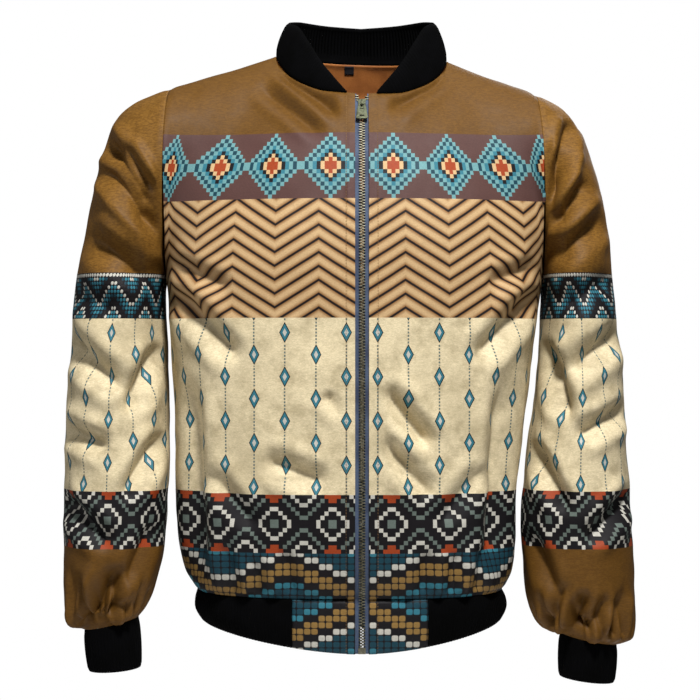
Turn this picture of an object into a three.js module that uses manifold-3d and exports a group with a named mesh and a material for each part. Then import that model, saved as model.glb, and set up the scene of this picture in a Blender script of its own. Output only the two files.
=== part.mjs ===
// A zipped bomber jacket in the hollow form of a worn one, with rib-knit collar, cuffs and hem.
// Millimetres, +Z up. The front faces -Y, and left and right are as seen from the front.
// The origin is in the middle of the neck, where the wearer's neck and shoulders carry the jacket.

import * as THREE from 'three';
import { mergeVertices } from 'three/addons/utils/BufferGeometryUtils.js';
import Module from 'manifold-3d';

const LEFT = -1;
const RIGHT = 1;
const FRONT = -1;
const BACK = 1;

// Walls and seams
const SHELL_WALL = 1.8;
const LINING_WALL = 1;
const RIB_WALL = 2.8;
const COLLAR_WALL = 3.2;
const LABEL_WALL = 0.6;
const SEAM_GAP = 0.3;
const ARMHOLE_GAP = 0.4;

// Knit ribs, raised on the outer face of collar, cuffs and hem band
const RIB_PITCH = 8;
const RIB_HEIGHT = 0.9;

// Body: how far its wall lies from the zip line and from the side seams at each height
const ARMPIT = -262;
const HEM_SEAM = -604;
const BODY_ROUNDNESS = 2.6;
const BODY = [
  { height: -604, left: 188, right: 161, front: 122, back: 110 },
  { height: -596, left: 193, right: 166, front: 127, back: 114 },
  { height: -582, left: 201, right: 172, front: 132, back: 119 },
  { height: -560, left: 207, right: 175, front: 136, back: 124 },
  { height: -530, left: 211, right: 175.5, front: 139, back: 127 },
  { height: -480, left: 212.5, right: 178, front: 141, back: 129 },
  { height: -400, left: 214, right: 188, front: 142, back: 129 },
  { height: -330, left: 218, right: 197, front: 143, back: 129 },
  { height: -262, left: 222.5, right: 205.5, front: 143, back: 129 },
];

// Shoulder points, where the shoulder seam meets the armhole
const SHOULDER = { left: { x: 219, z: -31 }, right: { x: 199, z: -38 } };
const SHOULDER_SAG = 1.5;

// How a panel's thread lines rise from the armpit level to its top edge. Share 0 is the centre line
// and share 1 the armhole edge. The four others are lengths of the tangents at the two ends.
const RISE = [
  { share: 0, bottom_out: 4, bottom_up: 260, top_in: 110, top_up: 190 },
  { share: 0.3, bottom_out: 10, bottom_up: 300, top_in: 150, top_up: 150 },
  { share: 0.55, bottom_out: 30, bottom_up: 330, top_in: 230, top_up: 60 },
  { share: 0.8, bottom_out: 110, bottom_up: 330, top_in: 310, top_up: 30 },
  { share: 0.93, bottom_out: 220, bottom_up: 200, top_in: 370, top_up: 25 },
  { share: 1, bottom_out: 310, bottom_up: 160, top_in: 420, top_up: 20 },
];
const BACK_FULLNESS = 0.9;

// Neck seam, by the angle round the neck from its front centre
const NECK_HALF_WIDTH = 98;
const NECK_FRONT = 85;
const NECK_BACK = 80;
const NECK_TILT = 3;
const NECK_HEIGHT = [
  { angle: 0, height: -46 },
  { angle: 24, height: -43 },
  { angle: 45, height: -32 },
  { angle: 70, height: -12 },
  { angle: 90, height: 5 },
  { angle: 112, height: 9 },
  { angle: 180, height: 9 },
];

// Upper edge of the collar, by the same angle: it falls to a point beside the zip
const COLLAR_TIP = 10;
const COLLAR_SWELL = 2.5;
const COLLAR_SWELL_START = 30;
const COLLAR_RIM = [
  { angle: 10, x: 17.8, y: -83, height: -42 },
  { angle: 24, x: 31, y: -76, height: -26 },
  { angle: 42, x: 47, y: -64, height: -5 },
  { angle: 56, x: 60, y: -49, height: 17 },
  { angle: 70, x: 73, y: -31, height: 37 },
  { angle: 85, x: 83, y: -9, height: 43.5 },
  { angle: 105, x: 85, y: 19, height: 49 },
  { angle: 130, x: 69, y: 46, height: 53 },
  { angle: 155, x: 38, y: 66, height: 51.5 },
  { angle: 180, x: 0, y: 73, height: 49.7 },
];

// Sleeves: outer and inner line in the front view, half depths to front and back, and the
// forward place of the section's middle. The last row is the cuff seam.
const SLEEVE_LEFT = [
  { share: 0, out_x: 219.4, out_z: -31, in_x: 223, in_z: -262, front: 98, back: 90, forward: 0 },
  { share: 0.04, out_x: 238, out_z: -38.5, in_x: 225, in_z: -266, front: 97, back: 90, forward: 0 },
  { share: 0.08, out_x: 260, out_z: -48.5, in_x: 226, in_z: -270, front: 95, back: 89, forward: 0 },
  { share: 0.12, out_x: 279, out_z: -65, in_x: 226, in_z: -275, front: 93, back: 88, forward: 0 },
  { share: 0.17, out_x: 291.5, out_z: -90, in_x: 225.5, in_z: -282, front: 90, back: 87, forward: 1 },
  { share: 0.23, out_x: 301, out_z: -124, in_x: 225, in_z: -292, front: 87, back: 85, forward: 2 },
  { share: 0.3, out_x: 310, out_z: -166, in_x: 224, in_z: -306, front: 84, back: 83, forward: 3 },
  { share: 0.38, out_x: 320, out_z: -221, in_x: 223, in_z: -328, front: 81, back: 80, forward: 4 },
  { share: 0.46, out_x: 328, out_z: -276, in_x: 222, in_z: -357, front: 79, back: 77, forward: 6 },
  { share: 0.54, out_x: 332, out_z: -331, in_x: 221, in_z: -393, front: 77, back: 75, forward: 9 },
  { share: 0.62, out_x: 335.5, out_z: -386, in_x: 220, in_z: -432, front: 75, back: 73, forward: 12 },
  { share: 0.7, out_x: 338.6, out_z: -442, in_x: 219.5, in_z: -472, front: 72, back: 71, forward: 15 },
  { share: 0.78, out_x: 339.5, out_z: -495, in_x: 221, in_z: -510, front: 70, back: 69, forward: 18 },
  { share: 0.85, out_x: 339, out_z: -545, in_x: 225, in_z: -548, front: 68, back: 66, forward: 20 },
  { share: 0.91, out_x: 338.5, out_z: -590, in_x: 231, in_z: -585, front: 65, back: 62, forward: 22 },
  { share: 0.95, out_x: 336.5, out_z: -624, in_x: 238, in_z: -611, front: 59, back: 56, forward: 23 },
  { share: 0.98, out_x: 329, out_z: -643, in_x: 247, in_z: -627, front: 49, back: 46, forward: 24 },
  { share: 1, out_x: 315, out_z: -648, in_x: 254, in_z: -634, front: 37, back: 36, forward: 24 },
];
const SLEEVE_RIGHT = [
  { share: 0, out_x: 199.4, out_z: -38, in_x: 206, in_z: -262, front: 98, back: 90, forward: 0 },
  { share: 0.04, out_x: 215, out_z: -45, in_x: 208, in_z: -266, front: 97, back: 90, forward: 0 },
  { share: 0.08, out_x: 230, out_z: -55, in_x: 209, in_z: -270, front: 95, back: 89, forward: 0 },
  { share: 0.12, out_x: 244, out_z: -72, in_x: 209, in_z: -275, front: 93, back: 88, forward: 0 },
  { share: 0.17, out_x: 257.5, out_z: -97, in_x: 208.5, in_z: -282, front: 90, back: 87, forward: 1 },
  { share: 0.23, out_x: 268, out_z: -131, in_x: 207, in_z: -292, front: 87, back: 85, forward: 2 },
  { share: 0.3, out_x: 276, out_z: -168, in_x: 205.5, in_z: -306, front: 84, back: 83, forward: 3 },
  { share: 0.38, out_x: 284, out_z: -221, in_x: 203.5, in_z: -328, front: 81, back: 80, forward: 4 },
  { share: 0.46, out_x: 290, out_z: -276, in_x: 201, in_z: -357, front: 79, back: 77, forward: 6 },
  { share: 0.54, out_x: 296, out_z: -331, in_x: 196.5, in_z: -393, front: 77, back: 75, forward: 9 },
  { share: 0.62, out_x: 300, out_z: -386, in_x: 191, in_z: -432, front: 75, back: 73, forward: 12 },
  { share: 0.7, out_x: 302.5, out_z: -442, in_x: 186, in_z: -472, front: 72, back: 71, forward: 15 },
  { share: 0.78, out_x: 306, out_z: -500, in_x: 182.5, in_z: -510, front: 70, back: 69, forward: 18 },
  { share: 0.85, out_x: 309, out_z: -553, in_x: 183, in_z: -552, front: 68, back: 66, forward: 20 },
  { share: 0.91, out_x: 309.5, out_z: -597, in_x: 184, in_z: -592, front: 65, back: 62, forward: 22 },
  { share: 0.95, out_x: 312, out_z: -634, in_x: 190, in_z: -624, front: 59, back: 56, forward: 23 },
  { share: 0.98, out_x: 309, out_z: -657, in_x: 204, in_z: -645, front: 49, back: 46, forward: 24 },
  { share: 1, out_x: 290, out_z: -665, in_x: 226, in_z: -652, front: 37, back: 36, forward: 24 },
];
const SLEEVE_BLEND = 0.16;

// Cuffs: the lower edge of each, in the same columns as a sleeve
const CUFF_LEFT_EDGE = { out_x: 310, out_z: -695, in_x: 251, in_z: -691, front: 35, back: 34, forward: 25 };
const CUFF_RIGHT_EDGE = { out_x: 287, out_z: -708, in_x: 225, in_z: -701, front: 35, back: 34, forward: 25 };

// Hem band and the plain tabs beside the zip
const HEM = [
  { height: -604, left: 188, right: 161, front: 121, back: 110 },
  { height: -632, left: 188.5, right: 164, front: 121, back: 110 },
  { height: -664, left: 181, right: 158, front: 117, back: 106 },
];
const HEM_BOTTOM = -664;
const HEM_SIDE_LIFT = 26;
const HEM_LIFT_POWER = 1.2;
const TAB_PROUD = 1;
const TAB_WIDTH = { left: 76, right: 72 };

// Zip: half width of the opening between the fronts, and its parts
const ZIP_OPENING = 7.5;
const TAPE_INNER = 3.7;
const TAPE_OUTER = 12;
const TAPE_WALL = 1;
const TAPE_GAP = 0.5;
const TAPE_SPREAD = 4.5;
const TAPE_SPREAD_LENGTH = 22;
const CHAIN_HALF_WIDTH = 3.3;
const CHAIN_DEPTH = 3;
const SLIDER_DROP = 15;
const SLIDER_LENGTH = 12;
const SLIDER_WIDTH = 9;
const SLIDER_TAPER = 2;
const SLIDER_CORNER = 2;
const SLIDER_PLATE = 1.2;
const SLIDER_CLEARANCE = 0.4;
const POST_WIDTH = 2.4;
const POST_CORNER = 0.5;
const POST_TOP_ROOM = 1;
const BRIDGE_WIDTH = 2;
const BRIDGE_BAR = 1;
const BRIDGE_SPAN = 8.6;
const BRIDGE_ROOM = 2.8;
const PULL_LENGTH = 21;
const PULL_TOP_WIDTH = 8.8;
const PULL_BOTTOM_WIDTH = 13;
const PULL_WALL = 1.2;
const PULL_CORNER = 2;
const PULL_EYE_WIDTH = 4;
const PULL_EYE_LENGTH = 6.4;
const PULL_BAR = 1.2;
const PULL_SLOT_WIDTH = 5;
const PULL_SLOT_LENGTH = 1.6;
const PULL_SLOT_RISE = 5;
const PULL_LEAN = 3;
const PULL_AXIS = -1.5;
const CHAIN_END_ROOM = 2;
const POST_SINK = 0.4;
const BRIDGE_SINK = 0.4;

// Lining and label inside the upper back
const LINING_ROWS = 5;
const LABEL_WIDTH = 11;
const LABEL_CENTRE = -14;
const LABEL_TOP = 0.14;
const LABEL_BOTTOM = 0.52;

// Half width of the flat strip beside the zip that no fold reaches, how fast a fold fades out at
// its two ends, and how fast it fades where the cloth turns away
const FOLD_FREE = 15;
const FOLD_FADE = 3;
const FOLD_FADE_START = 0.5;
const FOLD_TURN = 2;

// Folds, as lines in the front view from one x and z to another. A negative depth is a trough, and
// faces says where it shows.
const FOLDS = [
  { piece: 'sleeve_left', from: [-292, -92], to: [-229, -172], width: 13, depth: -9.1, faces: FRONT },
  { piece: 'sleeve_left', from: [-288, -128], to: [-229, -192], width: 12, depth: -7.8, faces: FRONT },
  { piece: 'sleeve_left', from: [-300, -215], to: [-240, -250], width: 16, depth: -6.5, faces: FRONT },
  { piece: 'sleeve_left', from: [-292, -104], to: [-232, -186], width: 15, depth: -9.1, faces: BACK },
  { piece: 'sleeve_left', from: [-318, -400], to: [-250, -372], width: 18, depth: -5.2, faces: BACK },
  { piece: 'sleeve_right', from: [233, -80], to: [226, -115], width: 12, depth: -6.5, faces: FRONT },
  { piece: 'sleeve_right', from: [226, -115], to: [200, -168], width: 13, depth: -9.1, faces: FRONT },
  { piece: 'sleeve_right', from: [247, -154], to: [222, -176], width: 11, depth: -5.2, faces: FRONT },
  { piece: 'sleeve_right', from: [270, -110], to: [214, -186], width: 15, depth: -9.1, faces: BACK },
  { piece: 'sleeve_right', from: [292, -410], to: [222, -380], width: 18, depth: -5.2, faces: BACK },
  { piece: 'front_right', from: [26, -378], to: [70, -432], width: 15, depth: -6, faces: FRONT },
  { piece: 'front_right', from: [24, -432], to: [70, -482], width: 15, depth: -5, faces: FRONT },
  { piece: 'front_right', from: [152, -420], to: [148, -560], width: 16, depth: -6.5, faces: FRONT },
  { piece: 'front_left', from: [-80, -20], to: [-28, -66], width: 12, depth: -5.2, faces: FRONT },
  { piece: 'front_left', from: [-102, -456], to: [-46, -472], width: 18, depth: -5.2, faces: FRONT },
  { piece: 'front_left', from: [-188, -400], to: [-184, -560], width: 16, depth: -7.8, faces: FRONT },
  { piece: 'back', from: [-170, -300], to: [-120, -420], width: 20, depth: -6.5, faces: BACK },
  { piece: 'back', from: [160, -300], to: [110, -420], width: 20, depth: -6.5, faces: BACK },
  { piece: 'back', from: [-60, -500], to: [-40, -580], width: 18, depth: -5.2, faces: BACK },
  { piece: 'back', from: [70, -490], to: [84, -580], width: 18, depth: -5.2, faces: BACK },
];

// Gathers of the sleeve above its cuff: angle round the sleeve, how far up each runs and its depth
const GATHER_WIDTH = 11;
const GATHER_START = 16;
const GATHER_MM_PER_DEGREE = 1.05;
const GATHERS = [
  { angle: 8, reach: 48, depth: -3.9 },
  { angle: 40, reach: 70, depth: -5.9 },
  { angle: 76, reach: 56, depth: -5.2 },
  { angle: 104, reach: 78, depth: -6.5 },
  { angle: 140, reach: 50, depth: -4.5 },
  { angle: 180, reach: 60, depth: -5.2 },
  { angle: 216, reach: 74, depth: -5.9 },
  { angle: 254, reach: 52, depth: -5.2 },
  { angle: 286, reach: 66, depth: -5.9 },
  { angle: 325, reach: 58, depth: -4.5 },
];

// Rows and columns of the wall grids
const LOW_ROWS = 12;
const HIGH_ROWS = 9;
const HALF_COLUMNS = 12;
const NECK_COLUMNS = 6;
const NECK_SHARE = NECK_COLUMNS / HALF_COLUMNS;
const SLEEVE_COLUMNS = 32;
const SLEEVE_ROWS = [
  0, 0.04, 0.08, 0.12, 0.17, 0.23, 0.3, 0.38, 0.46, 0.54, 0.62,
  0.7, 0.77, 0.83, 0.88, 0.915, 0.945, 0.97, 0.985, 1,
];
const COLLAR_ROWS = 3;
const CUFF_ROWS = 2;
const HEM_ROWS = 2;
const LOW_ROW_CROWDING = 1.2;
const RUN_SAMPLES = 400;
const TINY = 1e-6;
const WELD = 1e-4;
const CORNER_STEPS = 6;
const TAB_ROWS = 3;
const TAB_COLUMNS = 3;

const jacket = new THREE.Group();

function mix(a, b, share) {
  return a + (b - a) * share;
}

function soften(share) {
  const kept = Math.min(1, Math.max(0, share));
  return kept * kept * (3 - 2 * kept);
}

function nameOf(side) {
  return side === LEFT ? 'left' : 'right';
}

// Slopes of a column of a table at each of its rows, kept flat at turning points so that the
// smooth line through the rows never overshoots them.
function slopes(table, key, column) {
  const steps = table.slice(1).map((row, i) => {
    return (row[column] - table[i][column]) / (row[key] - table[i][key]);
  });
  return table.map((row, i) => {
    if (i === 0) return steps[0];
    if (i === steps.length) return steps[i - 1];
    if (steps[i - 1] * steps[i] <= 0) return 0;
    return 2 * steps[i - 1] * steps[i] / (steps[i - 1] + steps[i]);
  });
}

// A function that reads any place of a table on smooth lines through its rows.
function smoothTable(table, key) {
  const columns = Object.keys(table[0]).filter((name) => name !== key);
  const slope = Object.fromEntries(columns.map((name) => [name, slopes(table, key, name)]));
  return (place) => {
    const last = table.length - 2;
    const found = table.findIndex((row) => row[key] > place) - 1;
    const i = found < 0 ? (place < table[0][key] ? 0 : last) : found;
    const length = table[i + 1][key] - table[i][key];
    const t = Math.min(1, Math.max(0, (place - table[i][key]) / length));
    const row = {};
    for (const name of columns) {
      const start = table[i][name];
      const end = table[i + 1][name];
      row[name] = hermite(start, end, slope[name][i] * length, slope[name][i + 1] * length, t);
    }
    return row;
  };
}

function hermite(start, end, startSlope, endSlope, t) {
  const square = t * t;
  const cube = square * t;
  return (2 * cube - 3 * square + 1) * start + (3 * square - 2 * cube) * end
    + (cube - 2 * square + t) * startSlope + (cube - square) * endSlope;
}

const bodyAt = smoothTable(BODY, 'height');
const hemAt = smoothTable([...HEM].reverse(), 'height');
const riseAt = smoothTable(RISE, 'share');
const neckHeightAt = smoothTable(NECK_HEIGHT, 'angle');
const rimAt = smoothTable(COLLAR_RIM, 'angle');

// A point of a level section: share 0 is at the centre line, share 1 at the side.
function sectionPoint(section, height, side, face, edge, share) {
  const angle = share * Math.PI / 2;
  const power = 2 / BODY_ROUNDNESS;
  const half = section[nameOf(side)];
  const depth = face === FRONT ? section.front : section.back;
  const across = edge + (half - edge) * Math.sin(angle) ** power;
  const seam = SEAM_GAP / 2;
  return new THREE.Vector3(side * across, face * (seam + (depth - seam) * Math.cos(angle) ** power), height);
}

// A point of the neck seam where a panel's column ends. The angle runs from the front centre.
function neckKnot(side, angle) {
  const turn = THREE.MathUtils.degToRad(angle);
  const reach = angle < 90 ? NECK_FRONT : NECK_BACK;
  const across = NECK_HALF_WIDTH * Math.sin(turn);
  const tilt = -side * NECK_TILT * Math.sin(turn);
  return new THREE.Vector3(side * across, -reach * Math.cos(turn), neckHeightAt(angle).height + tilt);
}

// The angles of the neck seam at which the columns of a front or of half the back end.
function neckAngles(face) {
  const first = face === FRONT ? THREE.MathUtils.radToDeg(Math.asin(ZIP_OPENING / NECK_HALF_WIDTH)) : 180;
  return Array.from({ length: NECK_COLUMNS + 1 }, (_, i) => mix(first, 90, i / NECK_COLUMNS));
}

// Any point of the neck seam: straight from column to column, as the panels' edges are.
function neckPoint(side, angle) {
  const knots = neckAngles(angle < 90 ? FRONT : BACK);
  const whole = (angle - knots[0]) / (knots[NECK_COLUMNS] - knots[0]) * NECK_COLUMNS;
  const i = Math.min(NECK_COLUMNS - 1, Math.max(0, Math.floor(whole)));
  return neckKnot(side, knots[i]).lerp(neckKnot(side, knots[i + 1]), whole - i);
}

// A point of a panel's top edge: the neck seam first, then the shoulder seam.
function topPoint(side, face, share) {
  if (share < NECK_SHARE - TINY) {
    const knots = neckAngles(face);
    const angle = mix(knots[0], knots[NECK_COLUMNS], share / NECK_SHARE);
    const point = neckPoint(side, angle);
    point.y += face * SEAM_GAP / 2;
    return point;
  }
  const end = SHOULDER[nameOf(side)];
  const start = neckKnot(side, 90);
  const part = (share - NECK_SHARE) / (1 - NECK_SHARE);
  const sag = SHOULDER_SAG * Math.sin(part * Math.PI);
  return new THREE.Vector3(
    mix(start.x, side * end.x, part),
    face * SEAM_GAP / 2,
    mix(start.z, end.z, part) - sag,
  );
}

// A point of a panel. Level 0 is the hem seam, 1 the armpit and 2 the top edge.
function panelPoint(side, face, edge, share, level) {
  if (level <= 1) {
    const height = mix(HEM_SEAM, ARMPIT, level);
    return sectionPoint(bodyAt(height), height, side, face, edge, share);
  }
  const bottom = sectionPoint(bodyAt(ARMPIT), ARMPIT, side, face, edge, share);
  const top = topPoint(side, face, share);
  const rise = riseAt(share);
  const fullness = face === FRONT ? 1 : BACK_FULLNESS;
  const t = level - 1;
  return new THREE.Vector3(
    hermite(bottom.x, top.x, 0, 0, t),
    hermite(bottom.y, top.y, face * rise.bottom_out * fullness, -face * rise.top_in * fullness, t),
    hermite(bottom.z, top.z, rise.bottom_up, rise.top_up, t),
  );
}

// How deep the named folds are at a point of a piece, seen from the front or the back.
function foldDepth(piece, point, normal) {
  let depth = 0;
  for (const fold of FOLDS) {
    if (fold.piece !== piece) continue;
    const start = new THREE.Vector2(...fold.from);
    const line = new THREE.Vector2(...fold.to).sub(start);
    const offset = new THREE.Vector2(point.x, point.z).sub(start);
    const share = offset.dot(line) / line.lengthSq();
    const along = soften(share * FOLD_FADE + FOLD_FADE_START)
      * soften((1 - share) * FOLD_FADE + FOLD_FADE_START);
    const across = Math.abs(offset.cross(line)) / line.length() / fold.width;
    const facing = soften(normal.y * fold.faces * FOLD_TURN);
    const clear = soften((Math.abs(point.x) - FOLD_FREE) / FOLD_FREE);
    depth += fold.depth * along * facing * clear * Math.exp(-across * across);
  }
  return depth;
}

// Outward unit normals of a grid of points. The grid may close on itself from side to side.
function gridNormals(grid, closed) {
  const last = grid.length - 1;
  return grid.map((row, r) => row.map((_, c) => {
    const count = row.length;
    const before = closed ? (c + count - 1) % count : Math.max(0, c - 1);
    const after = closed ? (c + 1) % count : Math.min(count - 1, c + 1);
    const across = new THREE.Vector3().subVectors(row[after], row[before]);
    const up = new THREE.Vector3().subVectors(grid[Math.min(last, r + 1)][c], grid[Math.max(0, r - 1)][c]);
    return across.cross(up).normalize();
  }));
}

function moved(grid, normals, distance) {
  return grid.map((row, r) => row.map((point, c) => {
    return point.clone().addScaledVector(normals[r][c], distance(point, r, c, normals[r][c]));
  }));
}

// A closed wall between an outer and an inner grid of points.
function wallGeometry(outer, inner, closed) {
  const rows = outer.length;
  const columns = outer[0].length;
  const positions = [];
  for (const grid of [outer, inner]) {
    for (const row of grid) {
      for (const point of row) positions.push(point.x, point.y, point.z);
    }
  }
  const outside = (r, c) => r * columns + (c % columns);
  const inside = (r, c) => rows * columns + outside(r, c);
  const faces = [];
  const quad = (a, b, c, d) => faces.push(a, b, c, a, c, d);
  const spans = closed ? columns : columns - 1;
  for (let c = 0; c < spans; c += 1) {
    for (let r = 0; r < rows - 1; r += 1) {
      quad(outside(r, c), outside(r, c + 1), outside(r + 1, c + 1), outside(r + 1, c));
      quad(inside(r, c), inside(r + 1, c), inside(r + 1, c + 1), inside(r, c + 1));
    }
    quad(outside(0, c), inside(0, c), inside(0, c + 1), outside(0, c + 1));
    quad(outside(rows - 1, c), outside(rows - 1, c + 1), inside(rows - 1, c + 1), inside(rows - 1, c));
  }
  for (let r = 0; r < rows - 1 && !closed; r += 1) {
    quad(outside(r, 0), outside(r + 1, 0), inside(r + 1, 0), inside(r, 0));
    const end = columns - 1;
    quad(outside(r, end), inside(r, end), inside(r + 1, end), outside(r + 1, end));
  }
  const geometry = new THREE.BufferGeometry();
  geometry.setAttribute('position', new THREE.Float32BufferAttribute(positions, 3));
  geometry.setIndex(faces);
  geometry.computeVertexNormals();
  return geometry;
}

// A cloth wall whose inner face lies a wall's thickness behind its outer face. Trim may turn the
// way through the wall at an edge, so that the wall stays on its own side of a seam.
function clothWall(grid, thickness, { closed = false, raise = () => 0, trim = () => {} } = {}) {
  const normals = gridNormals(grid, closed);
  const outer = moved(grid, normals, raise);
  const inner = grid.map((row, r) => row.map((point, c) => {
    const inward = normals[r][c].clone().negate();
    trim(inward, r, c);
    return point.clone().addScaledVector(inward.normalize(), thickness);
  }));
  return wallGeometry(outer, inner, closed);
}

function material(color, roughness, metalness = 0) {
  return new THREE.MeshStandardMaterial({ color, roughness, metalness });
}

const PRINTED_SHELL = material(0x8c6a3c, 0.6);
const BLACK_RIB = material(0x0c0c0d, 0.95);
const LINING_CLOTH = material(0x7a3f14, 0.6);
const LABEL_CLOTH = material(0x15161a, 0.8);
const TAPE_CLOTH = material(0x3c4a5c, 0.8);
const TEETH_METAL = material(0xa79a78, 0.35, 1);
const PULL_METAL = material(0x8b8163, 0.4, 1);

function add(name, geometry, finish, parent = jacket) {
  const mesh = new THREE.Mesh(geometry, finish.clone());
  mesh.name = name;
  parent.add(mesh);
  return mesh;
}

// Rows of the body's grids, closer together near the hem, where the shell swells over the rib.
const LEVELS = [
  ...Array.from({ length: LOW_ROWS }, (_, i) => (i / LOW_ROWS) ** LOW_ROW_CROWDING),
  ...Array.from({ length: HIGH_ROWS + 1 }, (_, i) => 1 + i / HIGH_ROWS),
];
const ARMPIT_ROW = LOW_ROWS;
const TOP_ROW = LEVELS.length - 1;

function evenly(count) {
  return Array.from({ length: count + 1 }, (_, i) => i / count);
}

// Places from 0 to 1 along a line, at even steps of its length.
function evenRun(pointAt, count) {
  const places = evenly(RUN_SAMPLES);
  const lengths = [0];
  for (let i = 1; i < places.length; i += 1) {
    lengths.push(lengths[i - 1] + pointAt(places[i]).distanceTo(pointAt(places[i - 1])));
  }
  const whole = lengths[lengths.length - 1];
  return evenly(count).map((share) => {
    const i = Math.max(1, lengths.findIndex((length) => length >= share * whole - TINY));
    const part = (share * whole - lengths[i - 1]) / (lengths[i] - lengths[i - 1]);
    return mix(places[i - 1], places[i], part);
  });
}

function lengthOf(pointAt) {
  const points = evenly(RUN_SAMPLES).map(pointAt);
  return points.slice(1).reduce((sum, point, i) => sum + point.distanceTo(points[i]), 0);
}

// Signed shares of the columns of a panel, in order from left to right as seen from outside.
function halfShares(side, face) {
  const shares = evenly(HALF_COLUMNS).map((share) => side * share);
  return side === face ? shares.reverse() : shares;
}

function panelGrid(piece, face, edge, shares) {
  const grid = LEVELS.map((level) => shares.map((share) => {
    const side = share < 0 || Object.is(share, -0) ? LEFT : RIGHT;
    return panelPoint(side, face, edge, Math.abs(share), level);
  }));
  return folded(piece, grid);
}

function folded(piece, grid) {
  const normals = gridNormals(grid, false);
  return moved(grid, normals, (point, r, c, normal) => foldDepth(piece, point, normal));
}

// Keeps a panel's wall on its own side of the side seams, the shoulder seams and the armholes.
function panelTrim(face, shares) {
  return (inward, r, c) => {
    const atSide = Math.abs(shares[c]) === 1;
    const onShoulder = r === TOP_ROW && Math.abs(shares[c]) > NECK_SHARE - TINY;
    if ((atSide || onShoulder) && inward.y * face < 0) inward.y = 0;
    if (atSide && r > ARMPIT_ROW && inward.x * shares[c] > 0) inward.x = 0;
    if (r === 0 && inward.z < 0) inward.z = 0;
  };
}

function addPanel(piece, face, edge, shares) {
  const grid = panelGrid(piece, face, edge, shares);
  add(piece, clothWall(grid, SHELL_WALL, { trim: panelTrim(face, shares) }), PRINTED_SHELL);
  return grid;
}

// A point of the armhole seam on the sleeve's side. Angle 0 is at the shoulder, 180 at the armpit,
// and the front half comes first.
function armholePoint(side, angle) {
  const face = angle <= 180 ? FRONT : BACK;
  const down = (angle <= 180 ? angle : 360 - angle) / 180;
  const point = panelPoint(side, face, 0, 1, 2 - down);
  point.x += side * ARMHOLE_GAP;
  return point;
}

function ovalPoint(side, section, angle) {
  const turn = THREE.MathUtils.degToRad(angle);
  const out = (1 + Math.cos(turn)) / 2;
  const depth = Math.sin(turn) > 0 ? section.front : section.back;
  return new THREE.Vector3(
    side * mix(section.in_x, section.out_x, out),
    -section.forward - depth * Math.sin(turn),
    mix(section.in_z, section.out_z, out),
  );
}

// A point of a sleeve: its oval sections take the armhole's own shape near the armhole.
function sleevePoint(side, sectionAt, share, angle) {
  const point = ovalPoint(side, sectionAt(share), angle);
  const kept = 1 - soften(share / SLEEVE_BLEND);
  const start = ovalPoint(side, sectionAt(0), angle);
  return point.addScaledVector(armholePoint(side, angle).sub(start), kept);
}

// Angles round a sleeve or a cuff, in order from left to right as seen from outside.
function roundAngles(side, count) {
  return Array.from({ length: count }, (_, i) => (side === RIGHT ? i : (count - i) % count) * 360 / count);
}

function gatherDepth(angle, rise) {
  let depth = 0;
  for (const gather of GATHERS) {
    const turn = Math.abs((angle - gather.angle + 540) % 360 - 180);
    const across = turn * GATHER_MM_PER_DEGREE / GATHER_WIDTH;
    const start = soften(rise / GATHER_START);
    const end = soften((gather.reach - rise) / (gather.reach - GATHER_START));
    depth += gather.depth * start * end * Math.exp(-across * across);
  }
  return depth;
}

function addSleeve(side, table) {
  const piece = `sleeve_${nameOf(side)}`;
  const sectionAt = smoothTable(table, 'share');
  const angles = roundAngles(side, SLEEVE_COLUMNS);
  const plain = SLEEVE_ROWS.map((share) => {
    return angles.map((angle) => sleevePoint(side, sectionAt, share, angle));
  });
  const normals = gridNormals(plain, true);
  const seam = plain[plain.length - 1];
  const grid = moved(plain, normals, (point, r, c, normal) => {
    const gathers = gatherDepth(angles[c], point.z - seam[c].z);
    return r === 0 ? 0 : gathers + foldDepth(piece, point, normal);
  });
  const trim = (inward, r) => {
    if (r === 0 && inward.x * side < 0) inward.x = 0;
  };
  add(piece, clothWall(grid, SHELL_WALL, { closed: true, trim }), PRINTED_SHELL);
}

// How far a rib stands out of the knit. Ribs fade out at a seam, where the knit is gathered in.
function ribRaise(seamRow) {
  return (point, r, c) => (r === seamRow ? 0 : (c % 2) * RIB_HEIGHT);
}

function addCuff(side, table, edge) {
  const sectionAt = smoothTable(table, 'share');
  const seam = sectionAt(1);
  const top = { ...seam, out_z: seam.out_z - SEAM_GAP, in_z: seam.in_z - SEAM_GAP };
  const rows = smoothTable([{ share: 0, ...top }, { share: 1, ...edge }], 'share');
  const round = lengthOf((share) => ovalPoint(side, edge, share * 360));
  const columns = 2 * Math.round(round / RIB_PITCH);
  const angles = roundAngles(side, columns);
  const grid = evenly(CUFF_ROWS).map((share) => angles.map((angle) => ovalPoint(side, rows(share), angle)));
  const raise = ribRaise(0);
  add(`cuff_${nameOf(side)}`, clothWall(grid, RIB_WALL, { closed: true, raise }), BLACK_RIB);
}

// A point of the collar. Run goes from the right tip round the back to the left tip.
function collarPoint(run, rise) {
  const side = run < 0.5 ? RIGHT : LEFT;
  const angle = mix(COLLAR_TIP, 180, 1 - Math.abs(2 * run - 1));
  const seam = neckPoint(side, angle);
  seam.z += SEAM_GAP;
  const rim = rimAt(angle);
  const top = new THREE.Vector3(side * rim.x, rim.y, rim.height);
  const swell = COLLAR_SWELL * Math.sin(rise * Math.PI) * soften((angle - COLLAR_TIP) / COLLAR_SWELL_START);
  const point = seam.clone().lerp(top, rise);
  return point.add(new THREE.Vector3(seam.x, seam.y, 0).setLength(swell));
}

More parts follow.
